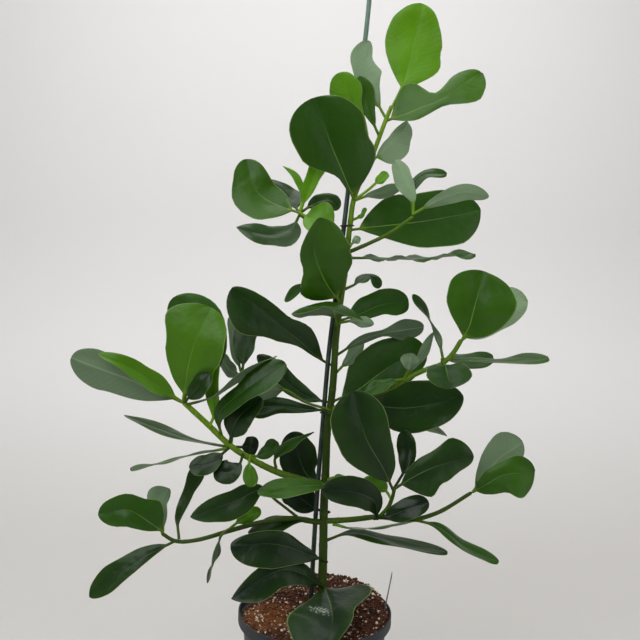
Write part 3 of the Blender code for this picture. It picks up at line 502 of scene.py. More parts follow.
LEFT_SHOOT = Shoot(
    (
        (9, 329, 0), (-5, 331, -7), (-25, 336, -13), (-50, 343, -20), (-90, 362, -32), (-112, 376, -38),
        (-140, 401, -46), (-172, 429, -54),
    ),
    (4.4, 3.2),
)
LEFT_TWIG = Shoot(((-111, 376, -38), (-106, 420, -24), (-98, 468, -18)), (2.6, 2.2))
LEFT_LEAVES = (
    Leaf(
        ((184, 403, -54), (150, 388, -62), (112, 373, -66), (71, 357, -62)),
        (15, 18, 20), (15, 23, 25), -78,
    ),
    Leaf(
        ((184, 403, -54), (158, 386, -68), (133, 369, -76), (98, 354, -78)),
        (9, 10, 5), (11, 11, 9), 68, fold=20,
    ),
    Leaf(
        ((183, 402, -54), (188, 368, -66), (196, 338, -72), (211, 307, -66)),
        (18, 32, 42), (22, 36, 31), 82, petiole=10, wave=1,
    ),
    Leaf(
        ((183, 402, -54), (199, 364, -38), (198, 332, -34), (175, 296, -32)),
        (15, 28, 27), (20, 34, 31), 80,
    ),
    Leaf(((184, 403, -54), (191, 395, -66), (200, 385, -74), (210, 373, -76)), 13, 13, 65),
    Leaf(
        ((209, 428, -46), (215, 411, -52), (213, 390, -54), (217, 361, -54)),
        (6, 10, 7), (6, 10, 8), 75, fold=30,
    ),
    Leaf(((186, 405, -54), (215, 396, -64), (243, 375, -68), (277, 356, -64)), 16, 16, -12),
    Leaf(
        ((222, 438, -40), (219, 415, -58), (240, 394, -74), (286, 363, -76)),
        (8, 12, 18), (9, 13, 17), 58,
    ),
    Leaf(
        ((229, 445, -38), (233, 429, -50), (241, 415, -58), (262, 398, -54)),
        (14, 19, 12), (14, 18, 12), 65,
    ),
    Leaf(
        ((242, 375, -18), (244, 358, -12), (247, 343, 0), (251, 320, 14)),
        (11, 19, 18), (10, 12, 15), 75, fold=18,
    ),
    Leaf(((242, 375, -18), (233, 372, 0), (226, 365, 8), (221, 354, 12)), 11, 11, -68),
    Leaf(((242, 375, -18), (236, 354, 4), (233, 336, 12), (230, 317, 14)), 8, 8, -65),
    Leaf(((230, 447, -38), (218, 457, -48), (206, 463, -52), (189, 466, -52)), (9, 14, 13), (8, 10, 9), 62),
    Leaf(((229, 448, -38), (197, 454, -34), (162, 463, -30), (130, 470, -30)), 15, 15, (-18, -4, -22)),
    Leaf(((229, 447, -38), (192, 440, -20), (155, 427, -8), (124, 415, 0)), 13, 13, (9, 5, 12)),
    Leaf(((243, 454, -36), (239, 465, -46), (229, 472, -48), (214, 469, -46)), 14, 14, 70),
    Leaf(((250, 456, -32), (249, 466, -44), (250, 475, -48), (252, 487, -50)), 9, 9, 70),
    Leaf(((236, 447, -36), (243, 447, -24), (249, 446, -16), (258, 448, -12)), 12, 12, 75, taper=0.4),
    Leaf(
        ((246, 455, -32), (258, 456, -28), (267, 451, -26), (277, 441, -28)),
        (5, 8, 9), (6, 9, 9), 70, taper=0.4,
    ),
    Leaf(
        ((276, 468, -21), (275, 459, -28), (286, 447, -36), (314, 432, -44)),
        (5, 6, 2.5), (5, 9, 2.5), 65, taper=0.9, fold=30,
    ),
)

LOW_LEFT_SHOOT = Shoot(
    (
        (8.5, 283, 0), (-3, 283, -4), (-30, 286, -8), (-75, 279, -10), (-105, 270, -11), (-150, 256, -14),
        (-176, 254, -16), (-195, 264, -18),
    ),
    (3.6, 2.2),
)
LOW_LEFT_LEAVES = (
    Leaf(
        ((163, 532, -18), (149, 522, -24), (128, 510, -28), (98, 513, -26)),
        (11, 19, 18), (24, 19, 14), 78, petiole=3,
    ),
    Leaf(
        ((163, 532, -18), (163, 514, -8), (162, 502, -2), (169, 488, 2)),
        (4, 6, 7), (8, 14, 20), -75, petiole=4,
    ),
    Leaf(
        ((177, 540, -16), (148, 555, -22), (118, 575, -26), (89, 596, -24)),
        (6, 10, 13), (11, 16, 16), 62,
    ),
    Leaf(((179, 539, -15), (178, 520, -4), (187, 495, 4), (204, 460, 6)), (5, 8, 11), (5, 8, 11), 70),
    Leaf(((228, 530, -11), (221, 536, -22), (216, 555, -24), (207, 583, -22)), 8, 8, (60, -30, 45)),
    Leaf(((228, 530, -11), (238, 522, -4), (248, 516, 2), (261, 510, 8)), 9, 9, 65),
    Leaf(((316, 521, -5), (298, 520, -10), (275, 525, -6), (248, 532, 0)), 13, 13, 32),
    Leaf(
        ((300, 519, -8), (278, 502, -8), (261, 490, -14), (236, 501, -26), (190, 517, -32)),
        (13, 20, 13), (12, 14, 11), 74, petiole=54, taper=0.8,
    ),
)

# How bright and young each leaf looks in the photograph: 1 a fresh yellow green, 0 a very dark green.
# One value for each leaf, in the order of its table.
# The tones paint light and shade as well as age: a leaf with light shining through it is given a higher
# tone, and a leaf in the shade of others a lower one.
MAIN_TONES = (
    0.92, 0.56, 0.7, 0.5, 0.82, 0.4, 0.8, 0.9, 0.65, 0.45, 0.35, 0.3, 0.5, 0.35, 0.5, 0.35, 0.35, 0.6, 0.25,
    0.15, 0.5, 0.36, 0.12, 0.15, 0.35, 0.5, 0.6, 0.05, 0.0, 0.0, 0.0, 0.03, 0.15, 0.7, 0.85,
)
UPPER_RIGHT_TONES = (0.75, 0.4, 0.65)
UPPER_LEFT_TONES = (0.52, 0.15, 0.2, 0.85, 0.9, 0.3, 0.8)
RIGHT_TONES = (0.5, 0.98, 0.45, 0.35, 0.25, 0.3, 0.4, 0.15, 0.45, 0.4, 0.5)
LOW_RIGHT_TONES = (0.08, 0.12, 0.7, 0.0, 0.05, 0.0, 0.5, 0.48, 0.45, 0.6)
LEFT_TONES = (
    0.35, 0.68, 0.62, 0.45, 0.1, 1.0, 0.3, 0.3, 0.08, 0.2, 0.3, 0.4, 0.05, 0.5, 0.25, 0.05, 0.6, 0.0, 0.4,
    0.3,
)
LOW_LEFT_TONES = (0.42, 0.5, 0.15, 0.2, 0.3, 0.75, 0.1, 0.15)


@dataclass
class LeafyStem:
    """A stem of the frame with what grows on it: its shoots, its leaves and how bright each of them is.

    The shoots' tones are spread evenly from their foot to their end.
    """

    node: str
    shoots: tuple
    shoot_tones: tuple
    leaves: tuple
    leaf_tones: tuple


LEAFY_STEMS = (
    LeafyStem("main_stem", (MAIN_STEM,), (0.1, 0.12, 0.95), MAIN_LEAVES, MAIN_TONES),
    LeafyStem("branch_upper_right", (UPPER_RIGHT_SHOOT,), (0.2, 0.5), UPPER_RIGHT_LEAVES, UPPER_RIGHT_TONES),
    LeafyStem("branch_upper_left", (UPPER_LEFT_SHOOT,), (0.2, 0.5), UPPER_LEFT_LEAVES, UPPER_LEFT_TONES),
    LeafyStem("branch_right", (RIGHT_SHOOT,), (0.4, 0.55), RIGHT_LEAVES, RIGHT_TONES),
    LeafyStem(
        "branch_low_right", (LOW_RIGHT_SHOOT, LOW_RIGHT_TWIG), (0.3, 0.15),
        LOW_RIGHT_LEAVES, LOW_RIGHT_TONES,
    ),
    LeafyStem("branch_left", (LEFT_SHOOT, LEFT_TWIG), (0.3, 0.85), LEFT_LEAVES, LEFT_TONES),
    LeafyStem("branch_low_left", (LOW_LEFT_SHOOT,), (0.16, 0.16), LOW_LEFT_LEAVES, LOW_LEFT_TONES),
)


def srgb(red, green, blue):
    """The linear colour of a colour that is given in 0 to 255."""
    return tuple((value / 255) ** 2.2 for value in (red, green, blue))


# What every colour that a user would change has in common
COLOUR = {"subtype": "COLOR", "size": 3, "min": 0, "max": 1}


class FoliageSettings(PropertyGroup):
    """Sizes and colours of the stems and their leaves"""

    young: FloatVectorProperty(
        name="Young leaf", description="Colour of the youngest leaves",
        default=srgb(98, 154, 4), **COLOUR,
    )
    grown: FloatVectorProperty(
        name="Grown leaf", description="Colour of a full grown leaf",
        default=srgb(40, 76, 8), **COLOUR,
    )
    old: FloatVectorProperty(
        name="Old leaf", description="Colour of the oldest, darkest leaves",
        default=srgb(15, 36, 14), **COLOUR,
    )
    underside: FloatVectorProperty(
        name="Underside", description="Colour of the dull underside",
        default=srgb(152, 182, 140), **COLOUR,
    )
    stem: FloatVectorProperty(
        name="Stem", description="Colour of the main stem",
        default=srgb(28, 46, 2), **COLOUR,
    )
    shoot: FloatVectorProperty(
        name="Young shoot", description="Colour of the youngest shoots and petioles",
        default=srgb(118, 158, 30), **COLOUR,
    )
    thickness: FloatProperty(
        name="Blade thickness", description="Thickness of a blade beside its midrib", unit="LENGTH",
        min=0.0003, max=0.003, default=BLADE_THICKNESS * MM,
    )
    cuts: IntProperty(
        name="Cuts", description="Cuts along a blade from its base to its tip", min=8, max=60, default=26,
    )


class PotSettings(PropertyGroup):
    """Colours and fineness of the pot"""

    colour: FloatVectorProperty(
        name="Plastic", description="Colour of the pot's plastic",
        default=srgb(38, 43, 48), **COLOUR,
    )
    dust: FloatVectorProperty(
        name="Dust", description="Colour of the dust and dried soil on the pot",
        default=srgb(104, 98, 92), **COLOUR,
    )
    segments: IntProperty(
        name="Segments", description="Segments round the pot", min=32, max=256, default=144,
    )


class SoilSettings(PropertyGroup):
    """Colours of the soil, and how many crumbs and grains lie on it"""

    peat: FloatVectorProperty(
        name="Peat", description="Colour of the moist peat",
        default=srgb(108, 66, 48), **COLOUR,
    )
    fibre: FloatVectorProperty(
        name="Fibre", description="Colour of the orange brown fibres",
        default=srgb(196, 124, 68), **COLOUR,
    )
    perlite: FloatVectorProperty(
        name="Perlite", description="Colour of the white grains",
        default=srgb(240, 222, 200), **COLOUR,
    )
    crumbs: IntProperty(name="Crumbs", description="Loose crumbs of peat", min=0, max=4000, default=3600)
    grains: IntProperty(name="Grains", description="Grains of perlite", min=0, max=2000, default=1000)


class SupportSettings(PropertyGroup):
    """Sizes and colours of the stake, its ties and the label"""

    stake: FloatVectorProperty(
        name="Stake", description="Colour of the stake's coating",
        default=srgb(30, 48, 38), **COLOUR,
    )
    tie: FloatVectorProperty(
        name="Tie", description="Colour of the ties' coating",
        default=srgb(24, 34, 24), **COLOUR,
    )
    label: FloatVectorProperty(
        name="Label", description="Colour of the blank plant label",
        default=srgb(96, 100, 102), **COLOUR,
    )
    stake_radius: FloatProperty(
        name="Stake radius", description="Radius of the coated stake", unit="LENGTH",
        min=0.001, max=0.01, default=STAKE_RADIUS * MM,
    )


class StageSettings(PropertyGroup):
    """The backdrop, the light and the lens"""

    backdrop: FloatVectorProperty(
        name="Backdrop", description="Colour of the floor and the backdrop",
        default=srgb(234, 232, 231), **COLOUR,
    )
    lens: FloatProperty(
        name="Lens", description="The camera's focal length", unit="CAMERA", min=10, max=200, default=36.9,
    )
    light: FloatProperty(
        name="Light", description="Power of the large soft light", unit="POWER",
        min=0, max=500, default=28,
    )


class Wire:
    """A socket of a node tree that takes part in expressions."""

    def __init__(self, graph, socket):
        self.graph = graph
        self.socket = socket

    def maths(self, operation, *values):
        return self.graph.node("ShaderNodeMath", {"operation": operation}, dict(enumerate(values)))

    def __add__(self, other):
        return self.maths("ADD", self, other)

    def __sub__(self, other):
        return self.maths("SUBTRACT", self, other)

    def __rsub__(self, other):
        return self.maths("SUBTRACT", other, self)

    def __mul__(self, other):
        return self.maths("MULTIPLY", self, other)

    def __truediv__(self, other):
        return self.maths("DIVIDE", self, other)

    def __rtruediv__(self, other):
        return self.maths("DIVIDE", other, self)

    def __pow__(self, other):
        return self.maths("POWER", self, other)

    def __rpow__(self, other):
        return self.maths("POWER", other, self)

    def __abs__(self):
        return self.maths("ABSOLUTE", self)

    __radd__ = __add__
    __rmul__ = __mul__


class Graph:
    """A node tree, and the one way that nodes are added to it."""

    def __init__(self, tree):
        self.tree = tree

    def node(self, kind, settings=None, sockets=None, out=0):
        made = self.tree.nodes.new(kind)
        for name, value in (settings or {}).items():
            if name == "stops":
                self.set_stops(made.color_ramp, value)
            else:
                setattr(made, name, value)
        for key, value in (sockets or {}).items():
            self.feed(made.inputs[key], value)
        return Wire(self, made.outputs[out])

    def set_stops(self, ramp, stops):
        while len(ramp.elements) < len(stops):
            ramp.elements.new(0.5)
        for element, (position, colour) in zip(ramp.elements, stops):
            element.position = position
            element.color = (*colour, 1.0)

    def feed(self, socket, value):
        if isinstance(value, Wire):
            self.tree.links.new(value.socket, socket)
        elif socket.type == "RGBA":
            socket.default_value = (*value, 1.0)
        else:
            socket.default_value = value

    def mix(self, factor, first, second):
        return self.node("ShaderNodeMix", {"data_type": "RGBA"}, {0: factor, 6: first, 7: second}, 2)

    def ramp(self, value, *stops):
        return self.node("ShaderNodeValToRGB", {"stops": stops}, {"Fac": value})

    def between(self, value, low, high, start=0.0, stop=1.0):
        """The share of the way from low to high, eased, and spread over start to stop."""
        settings = {"interpolation_type": "SMOOTHSTEP"}
        sockets = {"Value": value, "From Min": low, "From Max": high, "To Min": start, "To Max": stop}
        return self.node("ShaderNodeMapRange", settings, sockets)

    def paint(self, name):
        """What is painted on the mesh's points under a name."""
        return self.node("ShaderNodeAttribute", {"attribute_name": name}, out="Fac")

    def place(self):
        return self.node("ShaderNodeTexCoord", out="Object")

    def parts(self, vector):
        split = self.node("ShaderNodeSeparateXYZ", sockets={0: vector})
        return tuple(Wire(self, socket) for socket in split.socket.node.outputs)

    def vector(self, x, y, z):
        return self.node("ShaderNodeCombineXYZ", sockets={0: x, 1: y, 2: z})

    def noise(self, vector, scale, detail=2.0, roughness=0.5, distortion=0.0):
        sockets = {"Vector": vector, "Scale": scale, "Detail": detail}
        sockets |= {"Roughness": roughness, "Distortion": distortion}
        return self.node("ShaderNodeTexNoise", sockets=sockets)

    def cells(self, vector, scale, feature="F1"):
        return self.node("ShaderNodeTexVoronoi", {"feature": feature}, {"Vector": vector, "Scale": scale})


class Finish(Graph):
    """A material in the making: its shader, and what feeds it."""

    def __init__(self, name, **constants):
        self.material = bpy.data.materials.new(name)
        self.material.use_nodes = True
        super().__init__(self.material.node_tree)
        self.shader = self.tree.nodes["Principled BSDF"]
        sockets = {socket.name.lower().replace(" ", "_"): socket for socket in self.shader.inputs}
        for name, value in constants.items():
            sockets[name].default_value = value

    def colour(self, value):
        self.feed(self.shader.inputs["Base Color"], value)

    def roughness(self, value):
        self.feed(self.shader.inputs["Roughness"], value)

    def relief(self, height, depth, strength=1.0):
        """Raises the surface by the height, whose 1 is a depth in metres."""
        sockets = {"Height": height, "Distance": depth, "Strength": strength}
        self.feed(self.shader.inputs["Normal"], self.node("ShaderNodeBump", sockets=sockets))


def leaf_finish(settings):
    """Waxy above, with a pale midrib and faint side veins, and dull and paler below."""
    finish = Finish("clusia_leaf", specular_ior_level=0.25)
    tone, under = finish.paint("tone"), finish.paint("under")
    across, along = finish.paint("across"), finish.paint("along")
    stalk, chance = finish.paint("petiole"), finish.paint("chance")
    place = finish.place()
    patches = finish.noise(place, 24.0, 3.0)
    fine = finish.noise(place, 420.0, 2.0)
    side = abs(across)
    upper = finish.ramp(
        tone + (patches - 0.5) * 0.16,
        (0.0, tuple(settings.old)), (0.45, tuple(settings.grown)), (1.0, tuple(settings.young)),
    )
    veins = finish.node(
        "ShaderNodeTexWave", {"wave_type": "BANDS", "bands_direction": "X", "wave_profile": "SIN"},
        {
            "Vector": finish.vector(along * 3.2 - side * 0.55, side * 0.15, chance * 9.0),
            "Scale": 1.7, "Distortion": 3.2, "Detail": 2.0, "Detail Scale": 1.5,
        },
    )
    veined = finish.between(veins, 0.55, 1.0) * finish.between(side, 0.05, 0.3) * (1 - stalk)
    youth = finish.between(tone, 0.45, 0.9)
    upper = finish.mix(veined * (youth * 0.05 + 0.003), upper, srgb(120, 150, 80))
    # Painted sheen: the upper face is mixed towards a lighter green towards its margins.
    upper = finish.mix(finish.between(side, 0.1, 0.9, 0.0, 0.1), upper, srgb(74, 112, 34))
    rib = finish.between(side * (1 + along * 1.4), 0.01, 0.042, 1.0, 0.0)
    rib_shows = rib * finish.between(along, 0.2, 0.85, 0.75, 0.03)
    rib_shows = rib_shows * finish.between(tone, 0.0, 0.4, 0.5, 1.0)
    rib_shows = rib_shows * finish.between(tone, 0.6, 0.95, 1.0, 0.1)
    upper = finish.mix(rib_shows, upper, srgb(116, 150, 62))
    # A thin pale line along the margin on both faces. It is partly the leaf's own pale edge and partly a
    # painted highlight.
    rim = finish.between(side, 0.955, 1.0)
    upper = finish.mix(rim * 0.55, upper, srgb(140, 162, 96))
    # An underside's tone is painted light and shade: pale where light shines through it, dark where it lies
    # in shade.
    lower = finish.mix(tone, srgb(52, 68, 50), tuple(settings.underside))
    lower = finish.mix((patches - 0.3) * 0.35, lower, srgb(84, 104, 74))
    lower = finish.mix(finish.between(side, 0.02, 0.08, 0.45, 0.0), lower, srgb(138, 168, 124))
    lower = finish.mix(veined * 0.12, lower, srgb(70, 92, 66))
    lower = finish.mix(rim * 0.35, lower, srgb(150, 172, 112))
    blade = finish.mix(under, upper, lower)
    blade = finish.mix(stalk, blade, finish.mix(tone, tuple(settings.stem), tuple(settings.shoot)))
    dirt = finish.between(finish.noise(place, 130.0, 4.0, 0.7), 0.64, 0.76) * 0.3 * (1 - tone)
    blade = finish.mix(dirt, blade, srgb(88, 92, 66))
    x, y, z = finish.parts(place)
    marks = finish.cells(finish.vector(x, y, z * 1.5), 330.0, "DISTANCE_TO_EDGE")
    left, near, low = MARKS_AT * MM
    wide, deep, high = MARKS_REACH * MM
    away = ((x - left) / wide) ** 2 + ((y - near) / deep) ** 2 + ((z - low) / high) ** 2
    marked = finish.between(away + (fine - 0.5) * 2.2, 0.35, 0.75, 1.0, 0.0)
    marked = marked * finish.between(marks, 0.03, 0.09, 1.0, 0.0) * (1 - under)
    finish.colour(finish.mix(marked * 0.9, blade, srgb(206, 220, 206)))
    finish.roughness(0.3 + chance * 0.12 + under * 0.2 + (patches - 0.5) * 0.16 + dirt * 0.4 + stalk * 0.12)
    finish.relief(fine * 0.12 + veined * youth * 0.12 - rib * 0.4 + patches * 6.5, 0.001, 0.6)
    return finish.material


def stem_finish(settings):
    """A smooth green skin with paler leaf scars, fine lengthwise lines and a few corky specks."""
    finish = Finish("clusia_stem", specular_ior_level=0.22)
    tone, ring = finish.paint("tone"), finish.paint("across")
    place = finish.place()
    x, y, z = finish.parts(place)
    lines = finish.noise(finish.vector(x * 9.0, y * 9.0, z), 70.0, 3.0)
    specks = finish.between(finish.cells(place, 260.0), 0.05, 0.2, 1.0, 0.0)
    skin = finish.mix(tone, tuple(settings.stem), tuple(settings.shoot))
    skin = finish.mix(finish.between(lines, 0.35, 0.7, 0.0, 0.4), skin, srgb(32, 54, 6))
    skin = finish.mix(ring * 0.22, skin, srgb(92, 108, 44))
    skin = finish.mix(specks * (1 - tone) * 0.25, skin, srgb(104, 98, 58))
    bark = finish.between(z, 0.16, 0.26, 0.35, 0.0) * finish.between(lines, 0.3, 0.6)
    finish.colour(finish.mix(bark, skin, srgb(84, 76, 46)))
    finish.roughness(0.46 + lines * 0.14 + bark * 0.25)
    finish.relief(lines * 0.8 + specks * 0.5, 0.0005)
    return finish.material


def pot_finish(settings):
    """Moulded plastic with a fine grain, scuffs, and dust under the collar and on the rim."""
    finish = Finish("pot_plastic", specular_ior_level=0.3)
    place = finish.place()
    x, y, z = finish.parts(place)
    grain = finish.noise(place, 900.0, 3.0)
    flow = finish.noise(finish.vector(x, y, z * 14.0), 22.0, 2.0)
    scuffs = finish.between(finish.noise(finish.vector(x * 3, y * 3, z * 26), 34.0, 5.0, 0.7), 0.6, 0.72)
    clouds = finish.noise(place, 16.0, 5.0, 0.65)
    collar = COLLAR_LOW * MM
    under_collar = finish.between(z, collar - 0.024, collar, 0.0, 0.55)
    foot = finish.between(z, 0.0, 0.05, 0.7, 0.0)
    inside = finish.between(z, 0.172, 0.175, 0.0, 0.55)
    dust = (under_collar + foot + inside) * finish.between(clouds, 0.38, 0.68)
    plastic = finish.mix(finish.between(flow, 0.3, 0.7, 0.0, 0.2), tuple(settings.colour), srgb(56, 61, 66))
    plastic = finish.mix(scuffs * 0.28, plastic, srgb(118, 120, 122))
    finish.colour(finish.mix(dust * 0.35, plastic, tuple(settings.dust)))
    finish.roughness(0.44 + grain * 0.1 + scuffs * 0.14 + dust * 0.3)
    finish.relief(grain * 0.6 + flow * 0.35 - scuffs * 0.3, 0.0003)
    return finish.material


def soil_finish(settings, name, tint):
    """Moist peat with fibres, lighter where it has dried, and an orange brown patch at the front left."""
    finish = Finish(name, specular_ior_level=0.3)
    place = finish.place()
    x, y, _ = finish.parts(place)
    clods = finish.between(finish.noise(place, 150.0, 6.0, 0.7), 0.32, 0.68)
    fibres = finish.noise(finish.vector(x * 2.0, y, x - y), 520.0, 4.0, 0.7, 0.8)
    dried = finish.between(finish.noise(place, 30.0, 3.0), 0.42, 0.68)
    left, near = (x + 0.058) / 0.036, (y + 0.012) / 0.034
    patch = finish.between(left * left + near * near + (clods - 0.5) * 1.6, 0.2, 1.3, 1.0, 0.0)
    earth = finish.mix(clods, srgb(22, 11, 8), tuple(settings.peat))
    earth = finish.mix(dried * 0.35 + tint, earth, srgb(104, 68, 50))
    fibrous = finish.between(fibres, 0.52, 0.72) * (0.25 + patch * 0.6)
    earth = finish.mix(fibrous, earth, tuple(settings.fibre))
    finish.colour(finish.mix(patch * 0.4, earth, tuple(settings.fibre)))
    finish.roughness(0.78 + clods * 0.2)
    finish.relief(clods + fibres * 0.5, 0.0012)
    return finish.material


def perlite_finish(settings):
    finish = Finish("perlite", specular_ior_level=0.35)
    place = finish.place()
    pits = finish.noise(place, 1500.0, 3.0)
    stain = finish.between(finish.noise(place, 120.0, 3.0), 0.45, 0.7)
    finish.colour(finish.mix(stain * 0.6, tuple(settings.perlite), srgb(158, 118, 86)))
    finish.roughness(0.7 + pits * 0.2)
    finish.relief(pits, 0.0005)
    return finish.material


def stake_finish(settings):
    """A plastic coating with a fine rib along it, dulled and a little chalky, and paler towards the top,
    where painted light stands in for the light falling on it.
    """
    finish = Finish("stake_coating", coat_weight=0.12, coat_roughness=0.3)
    place = finish.place()
    chalk = finish.noise(place, 75.0, 5.0, 0.65)
    grain = finish.noise(place, 1300.0, 2.0)
    _, _, z = finish.parts(place)
    # Painted light and real chalk: the coating pales from 0.62 m up towards the top where the light falls,
    # and in chalky patches.
    painted_light_and_chalk = finish.between(z, 0.62, 0.9, 0.0, 0.75) + finish.between(chalk, 0.4, 0.7, 0.0, 0.25)
    finish.colour(finish.mix(painted_light_and_chalk, tuple(settings.stake), srgb(104, 132, 114)))
    finish.roughness(0.36 + chalk * 0.24)
    finish.relief(grain * 0.5 + chalk * 0.5, 0.0003)
    return finish.material


def tie_finish(settings):
    finish = Finish("tie_coating", coat_weight=0.1, coat_roughness=0.3)
    place = finish.place()
    wear = finish.noise(place, 420.0, 4.0, 0.6)
    worn = finish.between(wear, 0.5, 0.75, 0.0, 0.4)
    finish.colour(finish.mix(worn, tuple(settings.tie), srgb(74, 88, 66)))
    finish.roughness(0.4 + wear * 0.2)
    finish.relief(wear, 0.0002)
    return finish.material


def label_finish(settings):
    """Thin grey plastic, a little scratched, with dried soil above its foot."""
    finish = Finish("label_plastic", specular_ior_level=0.45)
    place = finish.place()
    x, y, z = finish.parts(place)
    scratches = finish.noise(finish.vector(x * 30, y * 30, z * 2), 24.0, 4.0)
    soiled = finish.between(z, 0.19, 0.165) * finish.between(finish.noise(place, 240.0, 4.0), 0.35, 0.65)
    scratched = finish.between(scratches, 0.5, 0.7, 0.0, 0.4)
    body = finish.mix(scratched, tuple(settings.label), srgb(134, 138, 138))
    finish.colour(finish.mix(soiled * 0.8, body, srgb(60, 40, 30)))
    finish.roughness(0.34 + scratches * 0.16 + soiled * 0.3)
    finish.relief(scratches, 0.0002)
    return finish.material


def backdrop_finish(settings):
    """Matt paper with a very faint weave, and painted shade that darkens the floor and the foot of the
    sweep, most towards the viewer.
    """
    finish = Finish("backdrop_paper", roughness=0.92, specular_ior_level=0.15)
    place = finish.place()
    _, away, up = finish.parts(place)
    clouds = finish.noise(place, 1.6, 3.0)
    grain = finish.noise(place, 260.0, 2.0)
    paper = finish.mix(clouds * 0.12, tuple(settings.backdrop), srgb(212, 209, 208))
    # Painted shade: darker on the floor and low on the sweep, darkest towards the viewer.
    low = finish.between(up + away * 0.4, 0.1, 1.1, 0.75, 0.0)
    finish.colour(finish.mix(low, paper, srgb(186, 183, 178)))
    finish.relief(grain, 0.0002)
    return finish.material


def from_photo(place):
    """The (across, up, depth) of a place that is read off the photograph as (column, row, depth)."""
    column, row, depth = place
    right, high = column - PHOTO_MIDDLE, PHOTO_MIDDLE - row
    across = right * math.cos(PHOTO_ROLL) - high * math.sin(PHOTO_ROLL)
    up = right * math.sin(PHOTO_ROLL) + high * math.cos(PHOTO_ROLL)
    return EYE.x + PIXEL * across, EYE.z + PIXEL * up, depth


def real_place(place):
    """The point in millimetres of a place given as (across, up, depth)."""
    across, up, depth = place
    reach = (depth - EYE.y) / -EYE.y
    return Vector((EYE.x + (across - EYE.x) * reach, depth, EYE.z + (up - EYE.z) * reach))


def smooth_curve(places):
    """A function of 0 to 1 that runs evenly along the smooth curve through the places, and its length."""
    ends = [real_place(place) for place in places]
    knots = [2 * ends[0] - ends[1], *ends, 2 * ends[-1] - ends[-2]]
    fine = []
    for i in range(1, len(knots) - 2):
        before, start, stop, after = knots[i - 1 : i + 3]
        first, own, last = ((b - a).length ** 0.5 for a, b in zip(knots[i - 1 :], knots[i : i + 3]))
        leave = own * ((start - before) / first - (stop - before) / (first + own)) + stop - start
        arrive = own * ((after - stop) / last - (after - start) / (own + last)) + stop - start
        for step in range(CURVE_STEPS):
            s = step / CURVE_STEPS
            shape = (2 * s**3 - 3 * s**2 + 1) * start + (3 * s**2 - 2 * s**3) * stop
            fine.append(shape + (s**3 - 2 * s**2 + s) * leave + (s**3 - s**2) * arrive)
    fine.append(ends[-1])
    lengths = [0.0]
    for first, second in zip(fine, fine[1:]):
        lengths.append(lengths[-1] + (second - first).length)

    def at(t):
        want = min(max(t, 0.0), 1.0) * lengths[-1]
        for i in range(1, len(lengths)):
            if lengths[i] >= want:
                break
        part = (want - lengths[i - 1]) / (lengths[i] - lengths[i - 1])
        return fine[i - 1].lerp(fine[i], part)

    return at, lengths[-1]


def heading(at, t, step=0.01):
    """The direction of a curve at t."""
    return (at(t + step) - at(t - step)).normalized()


def squared(direction, ahead):
    """A direction turned square to the way ahead, no further than that takes."""
    return (direction - ahead * direction.dot(ahead)).normalized()


def spokes(side, third, count):
    """The (turn, direction) pairs round a ring, from one of its two axes to the other and on."""
    turns = [math.tau * k / count for k in range(count)]
    return [(turn, math.cos(turn) * side + math.sin(turn) * third) for turn in turns]


def rings_along(at, stations, sides, step):
    """For each station on a curve, the station and the spokes of a ring that is carried without twisting."""
    side = heading(at, 0.0).orthogonal().normalized()
    for t in stations:
        ahead = heading(at, t, step)
        side = squared(side, ahead)
        yield t, spokes(side, ahead.cross(side), sides)


def domed(depth):
    """The share of a round end's radius that is left at a depth under its top, given in radii."""
    return math.sqrt(max(1 - (1 - min(depth, 1.0)) ** 2, 0.002))


def on_turn(i, around, radius):
    """The x and y of one of the places that are spread evenly round a circle."""
    turn = math.tau * i / around
    return radius * math.cos(turn), radius * math.sin(turn)


def smoothstep(low, high, value):
    share = min(max((value - low) / (high - low), 0.0), 1.0)
    return share * share * (3 - 2 * share)


def eased(values, t):
    """One value, or two or three that are spread evenly over 0 to 1, with eased steps between them."""
    if not isinstance(values, tuple):
        return values
    span = min(max(t, 0.0), 1.0) * (len(values) - 1)
    first = min(int(span), len(values) - 2)
    return values[first] + (values[first + 1] - values[first]) * smoothstep(0, 1, span - first)


def end_rounding(u, taper):
    """How much of a margin's reach is left at u, where the blade rounds off to its base and its tip."""
    return (1 - (1 - u) ** 3) ** 0.9 * (1 - u**4) ** taper


def margin_reach(side, u, taper):
    """How far a margin stands from the midrib at u, from 0 at the blade's base to 1 at its tip."""
    if u <= 0:
        return 0.0
    near, middle, far = READ_AT
    if isinstance(side, tuple):
        full = tuple(reach / end_rounding(where, taper) for reach, where in zip(side, READ_AT))
    else:
        full = side / end_rounding(middle, taper)
    return eased(full, (u - near) / (far - near)) * end_rounding(u, taper)


def leaf_axes(at):
    """The direction that a leaf's upper face has at roll 0, and at roll 90."""
    chord = (at(1.0) - at(0.0)).normalized()
    viewer, up = Vector((0, -1, 0)), Vector((0, 0, 1))
    if abs(chord.y) > END_ON:
        level = squared(up, chord)
        return level, level.cross(chord)
    facing = squared(viewer, chord)
    level = facing.cross(chord)
    return level if level.z > 0 else -level, facing


def leaf_facings(leaf, at, cuts):
    """The way the upper face looks at each cut. Back along the petiole it is carried without twisting."""
    level, facing = leaf_axes(at)
    facings = []
    for t, u in reversed(cuts):
        if u > 0:
            roll = math.radians(eased(leaf.roll, t))
            face = level * math.cos(roll) + facing * math.sin(roll)
        face = squared(face, heading(at, t))
        facings.append(face)
    return facings[::-1]


# What is painted on a skin's points, for the materials
PAINTS = ("tone", "under", "across", "along", "petiole", "chance")


